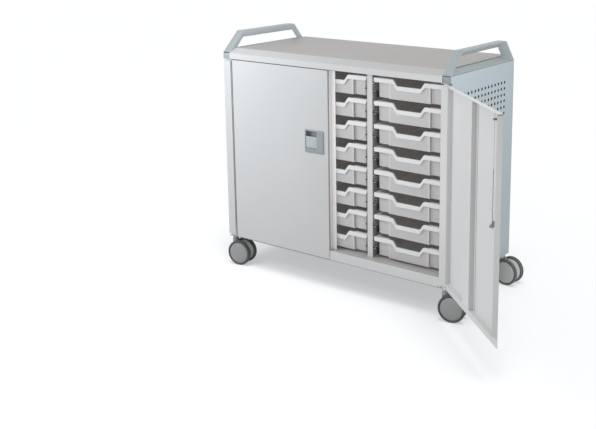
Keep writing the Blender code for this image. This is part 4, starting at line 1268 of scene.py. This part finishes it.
def worktop_ends():
    """Plates that close the ends of the folded worktop."""
    top = WORKTOP_TOP - WORKTOP_INSET
    low = WORKTOP_BOTTOM + WORKTOP_INSET
    back = DEPTH - WORKTOP_INSET
    outline = [(WORKTOP_INSET, low), (WORKTOP_INSET, WORKTOP_BOTTOM + WORKTOP_FACE), (WORKTOP_BEVEL, top)]
    outline += [(back, top), (back, low)]
    half = high_corner("worktop").x - MID_X
    data = bmesh.new()
    for side in SIDES.values():
        near = side * (half - END_PLATE_NEAR)
        drawn_out(data, outline, "X", near, side * (half - END_PLATE_FAR), FINE_ROUND)
    return add_piece("worktop_ends", data, "worktop", ["worktop"], stands_for=False)


def back_rivets():
    """Rivets round the back panel."""
    data = bmesh.new()
    width = INNER_HALF - RIVET_MARGIN
    low = BASE_TOP + RIVET_MARGIN
    high = WORKTOP_BOTTOM - RIVET_MARGIN
    places = []
    for step in range(RIVET_SPANS_ACROSS + 1):
        x = width * (2 * step / RIVET_SPANS_ACROSS - 1)
        places += [(x, low), (x, high)]
    for step in range(1, RIVET_SPANS_UP):
        z = low + (high - low) * step / RIVET_SPANS_UP
        places += [(-width, z), (width, z)]
    for x, z in places:
        screw_head(data, facing_back(x, z, DEPTH), RIVET)
    add_piece("back_panel_rivets", data, "back_panel", ["steel"], stands_for=False)


# Slotted uprights on the bay walls, with a runner at each tray: reaches and small places in millimetres
UPRIGHT_FRONT = 36.5 * MM
UPRIGHT_MIDDLE = 62 * MM
UPRIGHT_BACK = 110 * MM
UPRIGHT_LEVELS = (BASE_TOP + 3 * MM, WORKTOP_BOTTOM - 3 * MM)
UPRIGHT_REACH = (0.1, 1.1)
UPRIGHT_BACK_REACH = (0.1, 0.8)
SHADE_DROPS = (75 * MM, 50 * MM)
RUNNER_FRONT = 43 * MM
RUNNER_BACK = 120 * MM
RUNNER_REACH = (0.2, 15.2)
RUNNER_DROPS = (10.3 * MM, -0.1 * MM)
RUNNER_ROUND = 0.8 * MM
NOSE_FRONTS = (UPRIGHT_FRONT + 3 * MM, RUNNER_FRONT + 2 * MM)
NOSE_REACH = (1, 12)
NOSE_DROPS = (13 * MM, 3 * MM)
NOSE_ROUND = 1.2 * MM
STUD_FRONTS = (UPRIGHT_FRONT - 3 * MM, UPRIGHT_FRONT + 3 * MM)
STUD_REACH = (0.2, 9)
STUD_DROPS = (42 * MM, 34 * MM)
RUNNER_SCREW = (2.4 * MM, 1.5 * MM)
RUNNER_SCREW_DROP = 30 * MM
RIM_SIDE_LIP = 6.3 * MM
CLIP_HEIGHT = 5
CLIP_REACH = (1, 4.4)
SLOT_REACH = (1, 1.5)
CLIP_PLACES = [(15, 38, 6), (14, 50, 8), (24, 44, 7), (33, 38, 6), (35, 51, 8), (25, 57, 7), (44, 43, 9)]
SLOT_PLACES = [(19, 45, 5), (21, 54, 4), (29, 49, 6), (40, 39, 6), (43, 55, 5), (50, 40, 5), (30, 39, 4)]
RUNNER_FINISHES = ["runners", "steel", "clips", "black_painted_shade", "treads"]
RUNNER, SCREW, CLIP, SLOT, SHADE = range(5)
BAY_WALL_GAP = 6 * MM
DIVIDER_WIDTH = 24 * MM


def tray_runners(name, wall, inward, node, tops):
    """A dark upright, and at each tray a painted shadow patch, a runner, clips, slots and a stud in black
    painted shade, and a screw.
    """
    data = bmesh.new()

    def part(reach, fronts, heights, rounding, material=RUNNER):
        corners = [(wall + inward * reach[end] * MM, fronts[end], heights[end]) for end in (0, 1)]
        block(data, *corners, rounding, material)

    def small_parts(rail, places, reach, rounding, material):
        """Clips or slots at places given as (drop, front, depth)."""
        for drop, front, depth in places:
            heights = (rail - (drop + CLIP_HEIGHT) * MM, rail - drop * MM)
            part(reach, (front * MM, (front + depth) * MM), heights, rounding, material)

    facing = Matrix.Rotation(inward * math.pi / 2, 4, "Y")
    screw_x = wall + inward * UPRIGHT_REACH[1] * MM
    back = (UPRIGHT_MIDDLE, UPRIGHT_BACK)
    part(UPRIGHT_REACH, (UPRIGHT_FRONT, UPRIGHT_MIDDLE), UPRIGHT_LEVELS, SMALL_ROUND)
    part(UPRIGHT_BACK_REACH, back, UPRIGHT_LEVELS, SMALL_ROUND)
    for top in tops:
        rail = top - RIM_SIDE_LIP
        shade, runner, nose, stud = [
            [rail - drop for drop in drops] for drops in (SHADE_DROPS, RUNNER_DROPS, NOSE_DROPS, STUD_DROPS)
        ]
        # A dark patch below each runner: painted shadow
        part(UPRIGHT_REACH, back, shade, SMALL_ROUND, SHADE)
        part(RUNNER_REACH, (RUNNER_FRONT, RUNNER_BACK), runner, RUNNER_ROUND)
        part(NOSE_REACH, NOSE_FRONTS, nose, NOSE_ROUND)
        small_parts(rail, CLIP_PLACES, CLIP_REACH, RUNNER_ROUND, CLIP)
        # Slots and the stud below take the black: painted shade
        small_parts(rail, SLOT_PLACES, SLOT_REACH, FINE_ROUND, SLOT)
        part(STUD_REACH, STUD_FRONTS, stud, NOSE_ROUND, SLOT)
        screw = Matrix.Translation((screw_x, RUNNER_FRONT, rail - RUNNER_SCREW_DROP)) @ facing
        screw_head(data, screw, RUNNER_SCREW, SCREW)
    return add_piece(
        name, data, node, RUNNER_FINISHES, stands_for=False, sharp=40.0
    )


def place_runners():
    """Runners on both faces of each divider and on the inner face of each side."""
    tops = [high_corner("tray_right_{}".format(row)).z for row in range(1, 9)]
    half_bay = abs(low_corner("tray_middle_1").x - CABINET.x - BAY_WALL_GAP)
    runners = []
    for side_name, side in SIDES.items():
        divider = side_name + "_divider"
        near = side * half_bay
        far = side * (half_bay + DIVIDER_WIDTH)
        runners += [
            tray_runners(side_name + "_divider_middle_runners", near, -side, divider, tops),
            tray_runners(side_name + "_divider_side_runners", far, side, divider, tops),
            tray_runners(side_name + "_wall_runners", side * INNER_HALF, -side, side_name + "_side", tops),
        ]
    return runners


# CAD pieces that keep their shape: folded sheet with softened bends
WORKTOP_BEND = 1.2 * MM
SHEET_BEND = 0.6 * MM


def soften(node, width):
    """Round the sharp bends of a sheet piece a little."""
    thing = NODES[node]
    weld = thing.modifiers.new("Weld", "WELD")
    weld.merge_threshold = WELD_DISTANCE
    bend = thing.modifiers.new("Bend", "BEVEL")
    bend.width = width
    bend.segments = 2
    bend.limit_method = "ANGLE"
    bend.angle_limit = math.radians(40)


def even_flats(node):
    """Keep the flats of a sheet piece evenly shaded beside its rounded bends."""
    even = NODES[node].modifiers.new("Even", "WEIGHTED_NORMAL")
    even.mode = "FACE_AREA"
    even.weight = 100


def dress_nodes():
    """Give each CAD node its finish, and soften the bends of the sheet pieces."""
    for node, thing in NODES.items():
        label = NODE_FINISHES.get(node, SLOT_FINISHES[SLOT_OF[node]])
        thing.data.materials.clear()
        thing.data.materials.append(FINISHES[label])
        if label == "worktop":
            soften(node, WORKTOP_BEND)
        if label in ("carcass", "base"):
            soften(node, SHEET_BEND)
            even_flats(node)


# Floor and sky
FLOOR_SIZE = 40.0
FLOOR_DROP = 0.2 * MM
FLOOR_TONE = (0.40, 0.402, 0.405)
FLOOR_GLOW = 0.43
FLOOR_GLOW_TONE = (0.985, 1.0, 1.025)
FLOOR_SUN = 2.55
FLOOR_SUN_LEAN = (math.radians(12), math.radians(12), 0.0)
FLOOR_SUN_SPREAD = math.radians(32)
SKY_STRENGTH = 0.655
SKY_TONE = (1.0, 0.99, 0.98)
WHITE = (1.0, 1.0, 1.0)


def seen_directly(tree):
    """1 for rays that show the surface itself: seen, mirrored or through glass."""
    path = tree.add("ShaderNodeLightPath")
    seen = tree.math("MAXIMUM", path.outputs["Is Camera Ray"], path.outputs["Is Glossy Ray"])
    return tree.math("MAXIMUM", seen, path.outputs["Is Transmission Ray"])


def gathered(name, things):
    """A collection of pieces that a lamp is limited to."""
    group = bpy.data.collections.new(name)
    for thing in things:
        group.objects.link(thing)
    return group


def pale_floor():
    """A pale floor that glows where it is seen, so that it stays white and keeps the shadow."""
    material = bpy.data.materials.new("pale_floor")
    material.use_nodes = True
    tree = Tree(material.node_tree)
    shader = material.node_tree.nodes["Principled BSDF"]
    shader.inputs["Base Color"].default_value = (*FLOOR_TONE, 1.0)
    shader.inputs["Roughness"].default_value = 0.9
    shader.inputs["Specular IOR Level"].default_value = 0.0
    glow = tree.add("ShaderNodeEmission")
    glow.inputs["Color"].default_value = (*FLOOR_GLOW_TONE, 1.0)
    tree.join(tree.math("MULTIPLY", seen_directly(tree), FLOOR_GLOW), glow.inputs["Strength"])
    total = tree.add("ShaderNodeAddShader")
    tree.join(shader.outputs[0], total.inputs[0])
    tree.join(glow.outputs[0], total.inputs[1])
    tree.join(total.outputs[0], material.node_tree.nodes["Material Output"].inputs["Surface"])
    return material


def add_stage():
    """A wide floor, and a soft light from above that falls on it alone."""
    data = bmesh.new()
    bmesh.ops.create_grid(data, x_segments=1, y_segments=1, size=FLOOR_SIZE)
    mesh = bpy.data.meshes.new("floor")
    data.to_mesh(mesh)
    data.free()
    mesh.materials.append(pale_floor())
    floor = bpy.data.objects.new("floor", mesh)
    floor.location.z = -FLOOR_DROP
    scene.collection.objects.link(floor)

    sun = bpy.data.lights.new("floor_light", "SUN")
    sun.energy = FLOOR_SUN
    sun.angle = FLOOR_SUN_SPREAD
    lamp = bpy.data.objects.new("floor_light", sun)
    lamp.rotation_euler = FLOOR_SUN_LEAN
    lamp.light_linking.receiver_collection = gathered("floor_light_receivers", [floor])
    scene.collection.objects.link(lamp)
    return floor


def add_sky():
    """Soft light from all round, and a white background where it is seen."""
    world = bpy.data.worlds.new("soft_room")
    scene.world = world
    world.use_nodes = True
    tree = Tree(world.node_tree)
    background = world.node_tree.nodes["Background"]
    seen = seen_directly(tree)
    tree.join(tree.mix(seen, (*SKY_TONE, 1.0), (*WHITE, 1.0)), background.inputs["Color"])
    tree.join(tree.ramp(seen, 0.0, 1.0, SKY_STRENGTH, 1.0), background.inputs["Strength"])


# Lamps in the cabinet's frame, as place, target, size, power and colour: a cool key light and fills
KEY_LIGHT = ((-0.8, -0.8, 1.1), (-0.3, 0.0, 0.75), (0.4, 0.4), 6.8, (0.88, 0.95, 1.0))
LAMPS = {
    "key": KEY_LIGHT,
    "worktop_key": KEY_LIGHT,
    "tray_key": KEY_LIGHT,
    "tray_edge_fill": ((0.0, 0.014, 0.43), (0.0, 0.1, 0.43), (0.01, 0.62), 0.021, WHITE),
    "strip_fill": ((0.7, -0.45, 0.8), (0.0, 0.02, 0.6), (0.2, 0.5), 2.6, WHITE),
    "front_fill": ((0.68, -0.6, 0.6), (0.5, 0.0, 0.6), (0.5, 0.5), 1.45, WHITE),
    "door_fill": ((-0.05, -0.95, 0.75), (0.6, -0.1, 0.5), (0.5, 0.5), 3.3, WHITE),
    "door_top_fill": ((0.74, -0.18, 1.35), (0.74, -0.18, 0.9), (0.5, 0.5), 1.3, (0.94, 0.98, 1.0)),
    "edge_fill": ((1.4, -0.75, 0.6), (0.93, -0.35, 0.5), (0.4, 0.4), 0.66, WHITE),
    "front_caster_fill": ((-0.9, -1.1, 0.35), (-0.5, 0.05, 0.06), (0.4, 0.4), 0.9, WHITE),
    "end_fill": ((1.1, -0.1, 1.5), (0.55, 0.25, 0.7), (0.6, 0.6), 4.6, WHITE),
    "near_handle_fill": ((1.6, 0.0, 1.0), (0.55, 0.25, 0.97), (0.4, 0.4), 3.3, WHITE),
    "far_handle_fill": ((0.6, -0.9, 1.5), (-0.55, 0.25, 0.97), (0.5, 0.5), 14.0, WHITE),
    "tray_fill": ((0.9, -1.1, 1.4), (0.1, 0.1, 0.5), (0.6, 0.6), 3.8, WHITE),
    "rear_caster_fill": ((1.9, -1.0, 0.45), (0.58, 0.45, 0.08), (0.5, 0.5), 26.0, WHITE),
}
LAMPS_WITHOUT_GLOSS = ("worktop_key", "tray_edge_fill", "strip_fill")


def add_lamp(name, lit, shading=None):
    """A soft rectangular lamp that lights some pieces only, and may be shaded by some only."""
    place, target, size, power, colour = LAMPS[name]
    lamp = bpy.data.lights.new(name, "AREA")
    lamp.shape = "RECTANGLE"
    lamp.size, lamp.size_y = size
    lamp.energy = power
    lamp.color = colour
    thing = bpy.data.objects.new(name, lamp)
    thing.location = CABINET + Vector(place)
    aim = CABINET + Vector(target) - thing.location
    thing.rotation_euler = aim.to_track_quat("-Z", "Y").to_euler()
    thing.visible_camera = False
    thing.visible_glossy = name not in LAMPS_WITHOUT_GLOSS
    thing.light_linking.receiver_collection = gathered(name + "_receivers", lit)
    if shading:
        thing.light_linking.blocker_collection = gathered(name + "_blockers", shading)
    scene.collection.objects.link(thing)


def pieces_named(*starts):
    """The pieces whose names start with one of some words."""
    return [piece for piece in scene.objects if piece.name.startswith(starts)]


def add_lamps(floor, trays, runners, tops, strip, door_fittings):
    """Light each group of pieces. The key light reaches the trays past the shut door."""
    meshes = [thing for thing in scene.objects if thing.type == "MESH"]
    far_handle = pieces_named("left_push_handle")
    fronts = [NODES[node] for node in ("worktop", "left_divider", "right_divider", "right_side", "base_pan")]
    fronts += pieces_named("moulded_front_right", "right_push")
    door = NODES["right_door"]
    shut_door = [NODES["left_door"], NODES["left_door_stiffener"], strip, *pieces_named("latch")]
    add_lamp("key", [thing for thing in meshes if thing not in far_handle + tops + trays])
    add_lamp("worktop_key", tops)
    add_lamp("tray_key", trays, [thing for thing in meshes if thing not in shut_door])
    add_lamp("tray_edge_fill", trays, [floor])
    add_lamp("strip_fill", [strip], [floor])
    add_lamp("front_fill", fronts)
    add_lamp("door_fill", [door, NODES["right_door_stiffener"], *door_fittings, strip])
    add_lamp("door_top_fill", [door])
    add_lamp("edge_fill", [door, *door_fittings])
    add_lamp("front_caster_fill", pieces_named("moulded_front_left"), [floor])
    add_lamp("end_fill", pieces_named("right_pierced", "right_panel"))
    add_lamp("near_handle_fill", pieces_named("right_push_handle"))
    add_lamp("far_handle_fill", far_handle)
    add_lamp("tray_fill", trays + runners, [floor])
    add_lamp("rear_caster_fill", pieces_named("moulded_rear_right"))


# Camera of the photograph, in the cabinet's own frame
IMAGE_WIDTH = 596
IMAGE_HEIGHT = 429
FOCAL_PIXELS = 947.2
PRINCIPAL_PIXEL = (383.0, 111.6)
CAMERA_PLACE = Vector((2.2179, -2.8465, 1.4766))
CAMERA_AZIMUTH = math.radians(34.53)
CAMERA_ELEVATION = math.radians(11.66)
SENSOR_WIDTH = 36.0


def add_camera():
    camera = bpy.data.cameras.new("photo_camera")
    camera.sensor_fit = "HORIZONTAL"
    camera.sensor_width = SENSOR_WIDTH
    camera.lens = FOCAL_PIXELS / IMAGE_WIDTH * SENSOR_WIDTH
    camera.shift_x = (IMAGE_WIDTH / 2 - PRINCIPAL_PIXEL[0]) / IMAGE_WIDTH
    camera.shift_y = (PRINCIPAL_PIXEL[1] - IMAGE_HEIGHT / 2) / IMAGE_WIDTH
    thing = bpy.data.objects.new("photo_camera", camera)
    thing.location = CABINET + CAMERA_PLACE
    thing.rotation_euler = (math.pi / 2 - CAMERA_ELEVATION, 0.0, CAMERA_AZIMUTH)
    scene.collection.objects.link(thing)
    scene.camera = thing


dress_nodes()
trays = place_trays()
place_wheels()
place_forks()
for end_name in SIDES:
    end_panel(end_name)
    push_handle(end_name)
door_latch()
rod_lock()
door_fittings = [lock_rod(), right_door_fittings()]
strip = meeting_strip()
sill_painted_shade()
notch_backs()
runners = place_runners()
back_rivets()
tops = [NODES["worktop"], worktop_ends()]
floor = add_stage()
add_sky()
add_lamps(floor, trays, runners, tops, strip, door_fittings)
add_camera()
